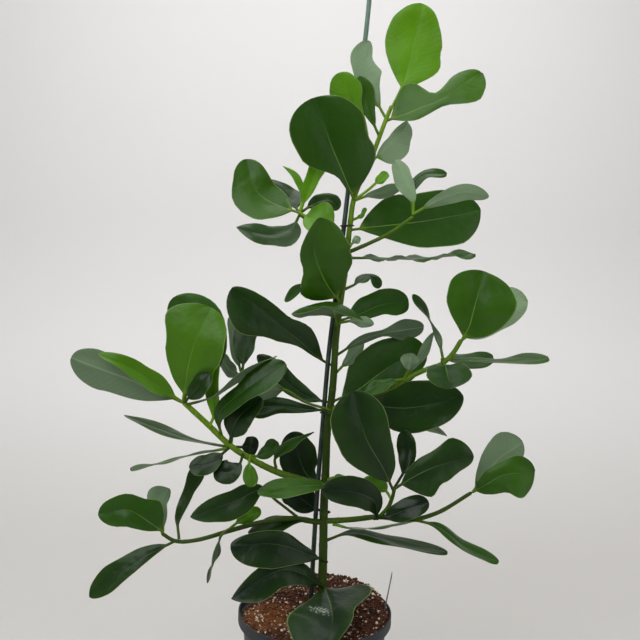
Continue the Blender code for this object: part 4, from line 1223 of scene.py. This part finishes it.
class Skin:
    """Points and faces of one mesh, with what is painted on its points, gathered before it is made."""

    def __init__(self):
        self.points = []
        self.faces = []
        self.slots = []
        self.paints = {name: [] for name in PAINTS}

    def add_point(self, point, **paints):
        self.points.append(point)
        for name in PAINTS:
            self.paints[name].append(paints.get(name, 0.0))

    def add_face(self, corners, slot):
        self.faces.append(corners)
        self.slots.append(slot)

    def add_rings(self, first, size, count, slot=0, closed=False):
        """The faces between rings of equal size, the first ring's first point being number first.

        Each end gets a cap, or where the rings are closed the last one meets the first.
        """
        for r in range(count if closed else count - 1):
            here, there = first + r * size, first + (r + 1) % count * size
            for i in range(size):
                j = (i + 1) % size
                self.add_face((here + i, here + j, there + j, there + i), slot)
        if not closed:
            last = first + (count - 1) * size
            self.add_face(tuple(reversed(range(first, first + size))), slot)
            self.add_face(tuple(range(last, last + size)), slot)

    def make(self, name, materials):
        mesh = bpy.data.meshes.new(name)
        mesh.from_pydata([point * MM for point in self.points], [], self.faces)
        for material in materials:
            mesh.materials.append(material)
        mesh.polygons.foreach_set("material_index", self.slots)
        for paint, values in self.paints.items():
            if any(values):
                layer = mesh.attributes.new(paint, "FLOAT", "POINT")
                layer.data.foreach_set("value", values)
        return finished(name, mesh)


def put_in_scene(name, data):
    made = bpy.data.objects.new(name, data)
    bpy.context.scene.collection.objects.link(made)
    return made


def finished(name, mesh, angle=60.0):
    """Turns the faces out, shades them and puts the mesh in the scene as an object."""
    shape = bmesh.new()
    shape.from_mesh(mesh)
    bmesh.ops.recalc_face_normals(shape, faces=shape.faces)
    bmesh.ops.triangulate(shape, faces=[face for face in shape.faces if len(face.verts) > 4])
    shape.to_mesh(mesh)
    shape.free()
    mesh.shade_smooth()
    mesh.set_sharp_from_angle(angle=math.radians(angle))
    return put_in_scene(name, mesh)


def placed(piece, slot, *nodes):
    """A finished piece rides on the frame's one body and stands for its nodes, which are hidden."""
    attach(piece, "root")
    if nodes:
        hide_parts(*nodes)


# The materials of a leafy stem, in the order that its mesh has them
BLADE_SLOT, STEM_SLOT = 0, 1


def leaf_cuts(leaf, length, count):
    """Where a leaf is cut across: (t, u), t along the whole of it and u along its blade."""
    stalk = leaf.petiole / length
    steps = max(3, round(leaf.petiole / PETIOLE_STEP))
    cuts = [(stalk * i / steps, 0.0) for i in range(steps)]
    for i in range(1, count + 1):
        u = min(max(0.5 - 0.5 * math.cos(math.pi * i / count), CUT_ENDS[0]), CUT_ENDS[1])
        cuts.append((stalk + (1 - stalk) * u * TIP_SHARE, u))
    return cuts


def blade_place(leaf, number, u, v, opened):
    """How far a blade's middle lies across from its midrib and above it at (u, v), and its tilt there."""
    sign = (v > 0) - (v < 0)
    wander = noise.noise(Vector((u * 4, sign * 3, number * 1.7)))
    wander += 0.35 * noise.noise(Vector((u * 12, sign * 5, number * 3.1)))
    reach = margin_reach(leaf.right if v > 0 else leaf.left, u, leaf.taper) * (1 + MARGIN_WANDER * wander)
    half = max(reach, PETIOLE_RADIUS * (1 - 0.6 * u))
    fold, cup = math.radians(leaf.fold) * opened, math.radians(leaf.cup) * opened * abs(v)
    rise = half * (math.sqrt(v * v + CREASE * CREASE) - CREASE) * math.sin(fold + cup / 2)
    wave = math.sin(math.tau * leaf.waves * u + WAVE_LAG * max(sign, 0))
    rise += leaf.wave * v * v * opened * wave
    ripple = noise.noise(Vector((u * 3.2, v * 1.6, number * 2.3))) * min(1.0, half / 20)
    rise += SURFACE_WANDER * opened * ripple
    return half * v * math.cos(fold + cup / 2), rise, fold + cup


def leaf_thickness(thick, u, v, opened):
    """How far a leaf's faces lie above and below its middle: a round petiole, or a blade with a midrib."""
    round_part = math.sqrt(max(1 - v * v, 0.004)) * (1 - opened)
    flat_part = (1 - MARGIN_THINNING * abs(v) ** 9) * opened
    rib = math.exp(-((v / RIB_WIDTH) ** 2)) * opened * (1 - u)
    half = thick / 2 * (round_part + flat_part)
    return half - GROOVE_DEPTH * rib, half + (KEEL_DEPTH + KEEL_GAIN * (1 - u)) * rib


def add_leaf(skin, leaf, tone, number, settings):
    """Lays a leaf's petiole and blade into a skin, ring by ring from its root to its tip."""
    at, length = smooth_curve([from_photo(place) for place in leaf.path])
    blade = settings.thickness / MM
    cuts = leaf_cuts(leaf, length, settings.cuts)
    chance = random.Random(number).random()
    first = len(skin.points)
    for (t, u), face in zip(cuts, leaf_facings(leaf, at, cuts)):
        side = heading(at, t).cross(face)
        opened = smoothstep(0.0, OPEN_AT, u)
        flare = 1 + PETIOLE_FLARE * math.exp(-t * length / FLARE_REACH) * (u == 0)
        thick = (blade + (2 * PETIOLE_RADIUS - blade) * (1 - opened)) * flare
        above, below = [], []
        for v in ACROSS:
            across, rise, tilt = blade_place(leaf, number, u, v, opened)
            middle = at(t) + side * across + face * rise
            lean = max(-1.0, min(1.0, v / (2 * CREASE)))
            out = face * math.cos(tilt) - side * math.sin(tilt) * lean
            upper, lower = leaf_thickness(thick, u, v, opened)
            above.append((middle + out * upper, v, 0.0))
            below.append((middle - out * lower, v, opened))
        for place, v, under in above + below[::-1]:
            skin.add_point(
                place, tone=tone, under=under, across=v * opened, along=u,
                petiole=1 - smoothstep(0.0, PETIOLE_FADE, u), chance=chance,
            )
    skin.add_rings(first, 2 * len(ACROSS), len(cuts), BLADE_SLOT)


def scar_places(length, radius, seed):
    """How far along a stem its leaf scars stand, closer together where it starts out thin."""
    draw = random.Random(seed)
    places = []
    reach = draw.uniform(*FIRST_SCAR)
    while reach < length - SCARLESS_END:
        places.append(reach)
        reach += draw.uniform(*SCAR_SPACING) * (0.6 + 0.1 * radius)
    return places


def add_shoot(skin, shoot, tones, seed):
    """Lays a round stem into a skin, a little thicker at each node, with a scar there, and domed on top."""
    at, length = smooth_curve(shoot.path)
    start, stop = shoot.radii
    scars = scar_places(length, start, seed)
    count = round(length / RING_STEP)
    stations = [min(i / count, 1 - 0.02 * stop / length) for i in range(count + 1)]
    first = len(skin.points)
    for t, ring in rings_along(at, stations, shoot.sides, 3.0 / length):
        scar = sum(math.exp(-(((t * length - place) / SCAR_WIDTH) ** 2)) for place in scars)
        radius = (start + (stop - start) * t) * (1 + SCAR_SWELL * min(scar, 1.0))
        radius *= domed((1 - t) * length / stop)
        paints = {"tone": eased(tones, t), "across": smoothstep(0.35, 1.0, scar), "along": t}
        for _, out in ring:
            grain = noise.noise(Vector((out.x * 1.4, out.y * 1.4, t * length * 0.06 + seed)))
            skin.add_point(at(t) + out * radius * (1 + STEM_UNEVENNESS * grain), **paints)
    skin.add_rings(first, shoot.sides, len(stations), STEM_SLOT)


def turned(name, profile, segments):
    """A mesh turned from its closed outline of (radius, height) points."""
    shape = bmesh.new()
    loops = []
    for i in range(segments):
        across, deep = on_turn(i, segments, MM)
        loops.append([shape.verts.new((r * across, r * deep, height * MM)) for r, height in profile])
    size = len(profile)
    for here, there in zip(loops, loops[1:] + loops[:1]):
        for j in range(size):
            k = (j + 1) % size
            shape.faces.new((here[j], there[j], there[k], here[k]))
    bmesh.ops.remove_doubles(shape, verts=shape.verts, dist=0.01 * MM)
    mesh = bpy.data.meshes.new(name)
    shape.to_mesh(mesh)
    shape.free()
    return mesh


def wall_radius(height):
    """The radius of the pot's outer wall at a height."""
    mouth = POT_MOUTH_RADIUS - COLLAR_PROUD
    return POT_FOOT_RADIUS + (mouth - POT_FOOT_RADIUS) * height / POT_HEIGHT


def inner_radius(height):
    """The radius of the pot's inner wall, which steps out behind the collar."""
    step = smoothstep(COLLAR_LOW, COLLAR_LOW + COLLAR_STEP, height)
    wall = wall_radius(height)
    return wall + (POT_MOUTH_RADIUS - wall) * step - POT_WALL


def arc(centre, radius, start, stop, steps):
    """Points of (radius, height) round a centre, between two turns in degrees."""
    points = []
    for i in range(steps + 1):
        turn = math.radians(start + (stop - start) * i / steps)
        points.append((centre[0] + radius * math.cos(turn), centre[1] + radius * math.sin(turn)))
    return points


def pot_profile():
    """The pot's outline: its foot ring, its wall with two moulded lines, and its rounded collar."""
    ring_inner = POT_FOOT_RADIUS - FOOT_RING_WIDTH
    outline = [(0, 0), (FLOOR_DISC_RADIUS, 0), (FLOOR_DISC_RADIUS + FLOOR_SLOPE, FLOOR_RECESS)]
    outline += [(ring_inner - FLOOR_SLOPE, FLOOR_RECESS), (ring_inner, 0)]
    outline += arc((POT_FOOT_RADIUS - FOOT_EDGE, FOOT_EDGE), FOOT_EDGE, -90, 0, 5)
    for line in MOULDED_LINES:
        wall = wall_radius(line)
        outline.append((wall, line - LINE_EDGE))
        outline += [(wall - LINE_DEPTH, line + step) for step in (-LINE_BOTTOM, LINE_BOTTOM)]
        outline.append((wall_radius(line + LINE_EDGE), line + LINE_EDGE))
    outline.append((wall_radius(COLLAR_LOW - COLLAR_FILLET), COLLAR_LOW - COLLAR_FILLET))
    outline.append((wall_radius(COLLAR_LOW) + COLLAR_FILLET / 2, COLLAR_LOW - COLLAR_FILLET / 6))
    outline += arc((POT_MOUTH_RADIUS - COLLAR_EDGE, COLLAR_LOW + COLLAR_EDGE), COLLAR_EDGE, -90, 0, 5)
    rim_outer, rim_inner = POT_MOUTH_RADIUS - RIM_OUTER_EDGE, inner_radius(POT_HEIGHT) + RIM_INNER_EDGE
    outline += arc((rim_outer, POT_HEIGHT - RIM_OUTER_EDGE), RIM_OUTER_EDGE, 0, 90, 5)
    outline += arc((rim_inner, POT_HEIGHT - RIM_INNER_EDGE), RIM_INNER_EDGE, 90, 180, 4)
    inside = [COLLAR_LOW + COLLAR_STEP + 0.5 - i for i in range(6)]
    inside += [POT_HEIGHT * share for share in (0.75, 0.5, 0.25)] + [FLOOR_TOP + 2]
    outline += [(inner_radius(height), height) for height in inside]
    return outline + [(inner_radius(FLOOR_TOP) - 2, FLOOR_TOP), (0, FLOOR_TOP)]


def cut_drains(pot):
    """Cuts the round drainage holes out of the pot's floor."""
    cutters = bpy.data.collections.new("drain_cutters")
    bpy.context.scene.collection.children.link(cutters)
    for i in range(DRAIN_HOLES):
        shape = bmesh.new()
        bmesh.ops.create_cone(
            shape, cap_ends=True, segments=DRAIN_SIDES,
            radius1=DRAIN_RADIUS * MM, radius2=DRAIN_RADIUS * MM, depth=4 * FLOOR_TOP * MM,
        )
        mesh = bpy.data.meshes.new("drain_cutter")
        shape.to_mesh(mesh)
        shape.free()
        cutter = bpy.data.objects.new("drain_cutter", mesh)
        cutter.location = (*on_turn(i + 0.5, DRAIN_HOLES, DRAIN_CIRCLE * MM), 0)
        cutters.objects.link(cutter)
    cut = pot.modifiers.new("drains", "BOOLEAN")
    cut.operation = "DIFFERENCE"
    cut.operand_type = "COLLECTION"
    cut.collection = cutters
    bpy.context.view_layer.update()
    graph = bpy.context.evaluated_depsgraph_get()
    drained = bpy.data.meshes.new_from_object(pot.evaluated_get(graph))
    if len(drained.vertices) <= len(pot.data.vertices):
        raise RuntimeError("the pot's drainage holes were not cut")
    pot.modifiers.clear()
    pot.data = drained
    for cutter in list(cutters.objects):
        bpy.data.objects.remove(cutter, do_unlink=True)
    bpy.data.collections.remove(cutters)


def soil_radius():
    """The radius that the soil reaches at its lowest level."""
    return inner_radius(SOIL_LOW) - SOIL_GAP


def soil_height(x, y):
    """The soil's surface: heaped to the back right, and a little lower along the wall."""
    radius = soil_radius()
    back_right = (0.5 * x + 0.87 * y) / radius
    heap = SOIL_HEAP * smoothstep(-0.35, 0.75, back_right)
    edge = math.hypot(x, y) / radius
    drop = SOIL_EDGE_DROP * smoothstep(0.86, 1.0, edge) + 0.5 * heap * smoothstep(0.9, 1.0, edge)
    return SOIL_LOW + heap - drop


def rough_soil(x, y):
    """The soil's surface with its clods."""
    calm = 1 - 0.8 * smoothstep(0.93, 1.0, math.hypot(x, y) / soil_radius())
    clods = noise.fractal(Vector((x, y, 3.0)) * 0.075, 0.8, 2.1, 5)
    return soil_height(x, y) + CLOD_HEIGHT * clods * calm


def make_soil_bed(material):
    """The bed: a side that follows the pot's wall up from its floor, and a rough top in rings."""
    skin = Skin()

    def add_level(heights, gap):
        for i, height in enumerate(heights):
            x, y = on_turn(i, SOIL_AROUND, inner_radius(height) - gap)
            skin.add_point(Vector((x, y, height)))

    edge = [rough_soil(*on_turn(i, SOIL_AROUND, soil_radius())) for i in range(SOIL_AROUND)]
    step_foot = COLLAR_LOW - SOIL_GAP
    add_level([FLOOR_TOP + SOIL_GAP] * SOIL_AROUND, SOIL_SIDE_GAP)
    for share in (1.0, 0.8, 0.6, 0.4, 0.2):
        add_level([top + (step_foot - top) * share for top in edge], SOIL_SIDE_GAP)
    add_level(edge, SOIL_GAP)
    for ring in range(SOIL_RINGS - 1, 0, -1):
        for i in range(SOIL_AROUND):
            x, y = on_turn(i, SOIL_AROUND, soil_radius() * ring / SOIL_RINGS)
            skin.add_point(Vector((x, y, rough_soil(x, y))))
    skin.add_rings(0, SOIL_AROUND, len(skin.points) // SOIL_AROUND)
    return skin.make("soil_bed", [material])


def scattered_grains(name, count, material, seed, sizes, lift):
    """Small uneven lumps where they fell on the soil, lifted out of it by a share of their size."""
    draw = random.Random(seed)
    smallest, largest = sizes
    pattern = bmesh.new()
    bmesh.ops.create_icosphere(pattern, subdivisions=1, radius=1.0)
    corners = [vert.co.copy() for vert in pattern.verts]
    sides = [tuple(vert.index for vert in face.verts) for face in pattern.faces]
    pattern.free()
    points, faces = [], []
    for _ in range(count):
        reach = (soil_radius() - GRAIN_MARGIN) * math.sqrt(draw.random())
        x, y = on_turn(draw.random(), 1, reach)
        size = smallest + (largest - smallest) * draw.random() ** 2.5
        stretch = Vector((draw.uniform(0.75, 1.35), draw.uniform(0.75, 1.35), draw.uniform(0.55, 0.9)))
        spin = Matrix.Rotation(draw.uniform(0, math.tau), 3, "Z")
        centre = Vector((x, y, rough_soil(x, y) + size * lift))
        first = len(points)
        for corner in corners:
            place = corner * stretch * (size * draw.uniform(0.72, 1.12))
            points.append((centre + spin @ place) * MM)
        faces += [tuple(first + corner for corner in side) for side in sides]
    mesh = bpy.data.meshes.new(name)
    mesh.from_pydata(points, [], faces)
    mesh.materials.append(material)
    return finished(name, mesh, angle=80.0)


def height_on(at, height):
    """The point where a rising curve passes a height."""
    low, high = 0.0, 1.0
    for _ in range(30):
        middle = (low + high) / 2
        if at(middle).z < height:
            low = middle
        else:
            high = middle
    return at(low)


def make_stake(radius, material):
    """The coated stake: fine ribs along it, and a rounded cap at each end."""
    skin = Skin()
    at, length = smooth_curve(STAKE.path)
    cap = [radius * (1 - math.cos(math.pi / 2 * i / CAP_CUTS)) / length for i in range(1, CAP_CUTS + 1)]
    stations = [0.0, *cap] + [i / STAKE_CUTS for i in range(1, STAKE_CUTS)]
    stations += [1 - t for t in reversed(cap)] + [1.0]
    for t, ring in rings_along(at, stations, STAKE.sides, 5.0 / length):
        reach = radius * domed(min(t, 1 - t) * length / radius)
        for turn, out in ring:
            rib = RIB_DEPTH * (0.5 + 0.5 * math.cos(STAKE_RIBS * turn))
            skin.add_point(at(t) + out * reach * (1 - rib))
    skin.add_rings(0, STAKE.sides, len(stations))
    return skin.make("stake_coated", [material])


def make_tie(name, height, stake_radius, material):
    """A closed loop of soft coated wire round the stem and the stake together."""
    stem_at, _ = smooth_curve(MAIN_STEM.path)
    stake_at, _ = smooth_curve(STAKE.path)
    stem, stake = height_on(stem_at, height), height_on(stake_at, height)
    foot, head = MAIN_STEM.path[0][1], MAIN_STEM.path[-1][1]
    thick, thin = MAIN_STEM.radii
    stem_radius = thick + (thin - thick) * (height - foot) / (head - foot)
    centre = (stem + stake) / 2
    outs = [Vector((*on_turn(i, TIE_STEPS, 1.0), 0)) for i in range(TIE_STEPS)]
    reaches = []
    for out in outs:
        widest = max((stem - centre).dot(out) + stem_radius, (stake - centre).dot(out) + stake_radius)
        reaches.append(widest + TIE_RADIUS + TIE_SLACK)
    points = []
    for i, out in enumerate(outs):
        ahead = Vector((-out.y, out.x, 0))
        slope = (reaches[(i + 1) % TIE_STEPS] - reaches[i - 1]) * TIE_STEPS / (2 * math.tau)
        points.append(centre + out * reaches[i] + ahead * slope)
    upright = Vector((0, 0, 1))
    skin = Skin()
    for i, point in enumerate(points):
        side = (points[(i + 1) % TIE_STEPS] - points[i - 1]).normalized().cross(upright)
        for _, out in spokes(side, upright, TIE_SIDES):
            skin.add_point(point + TIE_RADIUS * out)
    skin.add_rings(0, TIE_SIDES, TIE_STEPS, closed=True)
    return skin.make(name, [material])


def make_label(material):
    """A blank plastic label with rounded corners and softened edges, pointed at the foot."""
    lean = math.radians(LABEL_LEAN)
    rise = Vector((math.sin(lean), 0.1, math.cos(lean))).normalized()
    half, thin = LABEL_WIDTH / 2, LABEL_THICKNESS / 2
    right = [(half * share, height) for share, height in LABEL_CORNERS] + [(half, LABEL_LENGTH / 2)]
    right += arc((half - LABEL_ROUNDING, LABEL_LENGTH - LABEL_ROUNDING), LABEL_ROUNDING, 0, 90, 6)
    outline = [(0, 0), *right, *[(-a, b) for a, b in reversed(right)]]
    across = Vector((0.12, 1, 0)).normalized()
    through = across.cross(rise).normalized()
    skin = Skin()
    for offset in (-thin, thin):
        for a, b in outline:
            skin.add_point(LABEL_FOOT + across * a + rise * b + through * offset)
    skin.add_rings(0, len(outline), 2)
    label = skin.make("label_blank", [material])
    soften = label.modifiers.new("soft_edges", "BEVEL")
    soften.width = LABEL_EDGE * MM
    soften.segments = 2
    soften.limit_method = "ANGLE"
    return label


class CLUSIA_OT_foliage(Operator):
    """Grow the main stem and the side branches with their leaves"""

    bl_idname = "clusia.foliage"
    bl_label = "Foliage"

    def execute(self, context):
        settings = context.scene.clusia_foliage
        materials = [leaf_finish(settings), stem_finish(settings)]
        number = 0
        for stem in LEAFY_STEMS:
            skin = Skin()
            for shoot in stem.shoots:
                number += 1
                add_shoot(skin, shoot, stem.shoot_tones, number)
            for leaf, tone in zip(stem.leaves, stem.leaf_tones, strict=True):
                number += 1
                add_leaf(skin, leaf, tone, number, settings)
            placed(skin.make(f"leafy_{stem.node}", materials), "leaf", stem.node)
        return {"FINISHED"}


class CLUSIA_OT_pot(Operator):
    """Turn the pot and cut its drainage holes"""

    bl_idname = "clusia.pot"
    bl_label = "Pot"

    def execute(self, context):
        settings = context.scene.clusia_pot
        mesh = turned("pot_shell", pot_profile(), settings.segments)
        mesh.materials.append(pot_finish(settings))
        pot = finished("pot_shell", mesh, angle=35.0)
        cut_drains(pot)
        placed(pot, "pot", "pot")
        return {"FINISHED"}


class CLUSIA_OT_soil(Operator):
    """Fill the pot with peat, its crumbs and its perlite"""

    bl_idname = "clusia.soil"
    bl_label = "Soil"

    def execute(self, context):
        settings = context.scene.clusia_soil
        placed(make_soil_bed(soil_finish(settings, "peat", 0.0)), "soil", "soil")
        peat, white = soil_finish(settings, "peat_crumb", 0.18), perlite_finish(settings)
        crumbs = scattered_grains("soil_crumbs", settings.crumbs, peat, 11, CRUMB_SIZES, CRUMB_LIFT)
        placed(crumbs, "soil")
        grains = scattered_grains("soil_perlite", settings.grains, white, 23, PERLITE_SIZES, PERLITE_LIFT)
        placed(grains, "soil")
        return {"FINISHED"}


class CLUSIA_OT_supports(Operator):
    """Make the coated stake and the two ties that hold the stem to it"""

    bl_idname = "clusia.supports"
    bl_label = "Stake and ties"

    def execute(self, context):
        settings = context.scene.clusia_supports
        radius = settings.stake_radius / MM
        placed(make_stake(radius, stake_finish(settings)), "stake", "stake")
        wire = tie_finish(settings)
        for node, height in zip(("tie_lower", "tie_upper"), TIE_HEIGHTS):
            placed(make_tie(f"{node}_wire", height, radius, wire), "tie", node)
        return {"FINISHED"}


class CLUSIA_OT_label(Operator):
    """Stand the blank plant label in the soil"""

    bl_idname = "clusia.label"
    bl_label = "Label"

    def execute(self, context):
        placed(make_label(label_finish(context.scene.clusia_supports)), "label", "label")
        return {"FINISHED"}


@dataclass
class SoftLight:
    """A soft lamp: its place, what it looks at, its width and height, its share of the light, its colour."""

    place: tuple
    target: tuple
    size: tuple
    share: float
    colour: tuple = (1.0, 1.0, 1.0)


SOFT_LIGHTS = {
    "window": SoftLight((-1.0, -1.5, 1.9), (0.0, 0.0, 0.55), (1.8, 1.8), 1.0, (0.97, 0.99, 1.0)),
    "fill": SoftLight((1.7, -1.1, 1.0), (0.0, 0.0, 0.55), (1.6, 1.8), 0.3, (1.0, 0.99, 0.98)),
    "sky": SoftLight((0.0, 0.2, 2.6), (0.0, 0.0, 0.5), (2.2, 1.6), 0.55),
    "wash": SoftLight((0.0, 0.1, 2.5), (0.0, 1.6, 0.7), (2.6, 0.8), 0.6),
}


def set_light(name, light, watts):
    lamp = bpy.data.lights.new(name, "AREA")
    lamp.shape = "RECTANGLE"
    lamp.size, lamp.size_y = light.size
    lamp.energy = watts * light.share
    lamp.color = light.colour
    made = put_in_scene(name, lamp)
    made.location = light.place
    made.rotation_euler = (Vector(light.target) - Vector(light.place)).to_track_quat("-Z", "Y").to_euler()


def set_camera(focal_length):
    """The camera at the photo's place: upright, looking along +Y, with the photo's slight roll."""
    lens = bpy.data.cameras.new("camera")
    lens.lens = focal_length
    camera = put_in_scene("camera", lens)
    camera.location = EYE * MM
    camera.rotation_mode = "XYZ"
    upright = Matrix.Rotation(math.radians(90), 4, "X")
    camera.rotation_euler = (upright @ Matrix.Rotation(PHOTO_ROLL, 4, "Z")).to_euler("XYZ")
    bpy.context.scene.camera = camera


def make_backdrop(material):
    """The floor, which sweeps up behind the plant. Its sizes are in metres."""
    near, bend, radius, wide, high = -2.2, 0.75, 0.9, 3.2, 3.2
    outline = [(near, 0.0), (bend * 0.5, 0.0), *arc((bend, radius), radius, -90, 0, 24)]
    outline.append((bend + radius, high))
    points = [Vector((side, y, z)) for side in (-wide, wide) for y, z in outline]
    size = len(outline)
    faces = [(i, size + i, size + i + 1, i + 1) for i in range(size - 1)]
    mesh = bpy.data.meshes.new("backdrop")
    mesh.from_pydata(points, [], faces)
    mesh.materials.append(material)
    mesh.shade_smooth()
    put_in_scene("backdrop", mesh)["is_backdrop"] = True


def studio_sky(world):
    """Soft light from all round: brightest overhead and from behind, weakest from the viewer's side."""
    sky = Graph(world.node_tree)
    background = world.node_tree.nodes["Background"]
    _, away, up = sky.parts(sky.node("ShaderNodeTexCoord", out="Generated"))
    overhead = sky.between(up, -0.6, 1.1, 0.0, 0.36)
    behind = sky.between(away, -0.6, 1.1, 0.05, 0.2)
    sky.feed(background.inputs["Color"], (1.0, 1.0, 1.0))
    sky.feed(background.inputs["Strength"], overhead + behind)


class CLUSIA_OT_stage(Operator):
    """Set the floor and backdrop, the soft lights and the camera"""

    bl_idname = "clusia.stage"
    bl_label = "Stage"

    def execute(self, context):
        settings = context.scene.clusia_stage
        make_backdrop(backdrop_finish(settings))
        for name, light in SOFT_LIGHTS.items():
            set_light(name, light, settings.light)
        world = bpy.data.worlds.new("studio")
        world.use_nodes = True
        studio_sky(world)
        context.scene.world = world
        context.scene.view_settings.view_transform = "Standard"
        set_camera(settings.lens)
        return {"FINISHED"}


class CLUSIA_PT_build(Panel):
    """The clusia's pieces, in the order they are built"""

    bl_idname = "CLUSIA_PT_build"
    bl_label = "Potted clusia"
    bl_space_type = "VIEW_3D"
    bl_region_type = "UI"
    bl_category = "Clusia"

    def draw(self, context):
        for operator in OPERATORS:
            self.layout.operator(operator.bl_idname)
        for name in SETTINGS:
            group = getattr(context.scene, name)
            box = self.layout.box()
            for key in group.__annotations__:
                box.prop(group, key)


SETTINGS = {
    "clusia_foliage": FoliageSettings,
    "clusia_pot": PotSettings,
    "clusia_soil": SoilSettings,
    "clusia_supports": SupportSettings,
    "clusia_stage": StageSettings,
}
OPERATORS = (
    CLUSIA_OT_stage, CLUSIA_OT_pot, CLUSIA_OT_soil, CLUSIA_OT_supports, CLUSIA_OT_label, CLUSIA_OT_foliage,
)
CLASSES = (*SETTINGS.values(), *OPERATORS, CLUSIA_PT_build)


def register():
    for kind in CLASSES:
        bpy.utils.register_class(kind)
    for name, kind in SETTINGS.items():
        setattr(bpy.types.Scene, name, PointerProperty(type=kind))


def unregister():
    for name in SETTINGS:
        delattr(bpy.types.Scene, name)
    for kind in reversed(CLASSES):
        bpy.utils.unregister_class(kind)


def main():
    register()
    bpy.ops.clusia.stage()
    bpy.ops.clusia.pot()
    bpy.ops.clusia.soil()
    bpy.ops.clusia.supports()
    bpy.ops.clusia.label()
    bpy.ops.clusia.foliage()
    for name, box in (("cad", CAD_BOX), ("visual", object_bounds())):
        [list(corner) for corner in box]


if __name__ == "__main__":
    main()
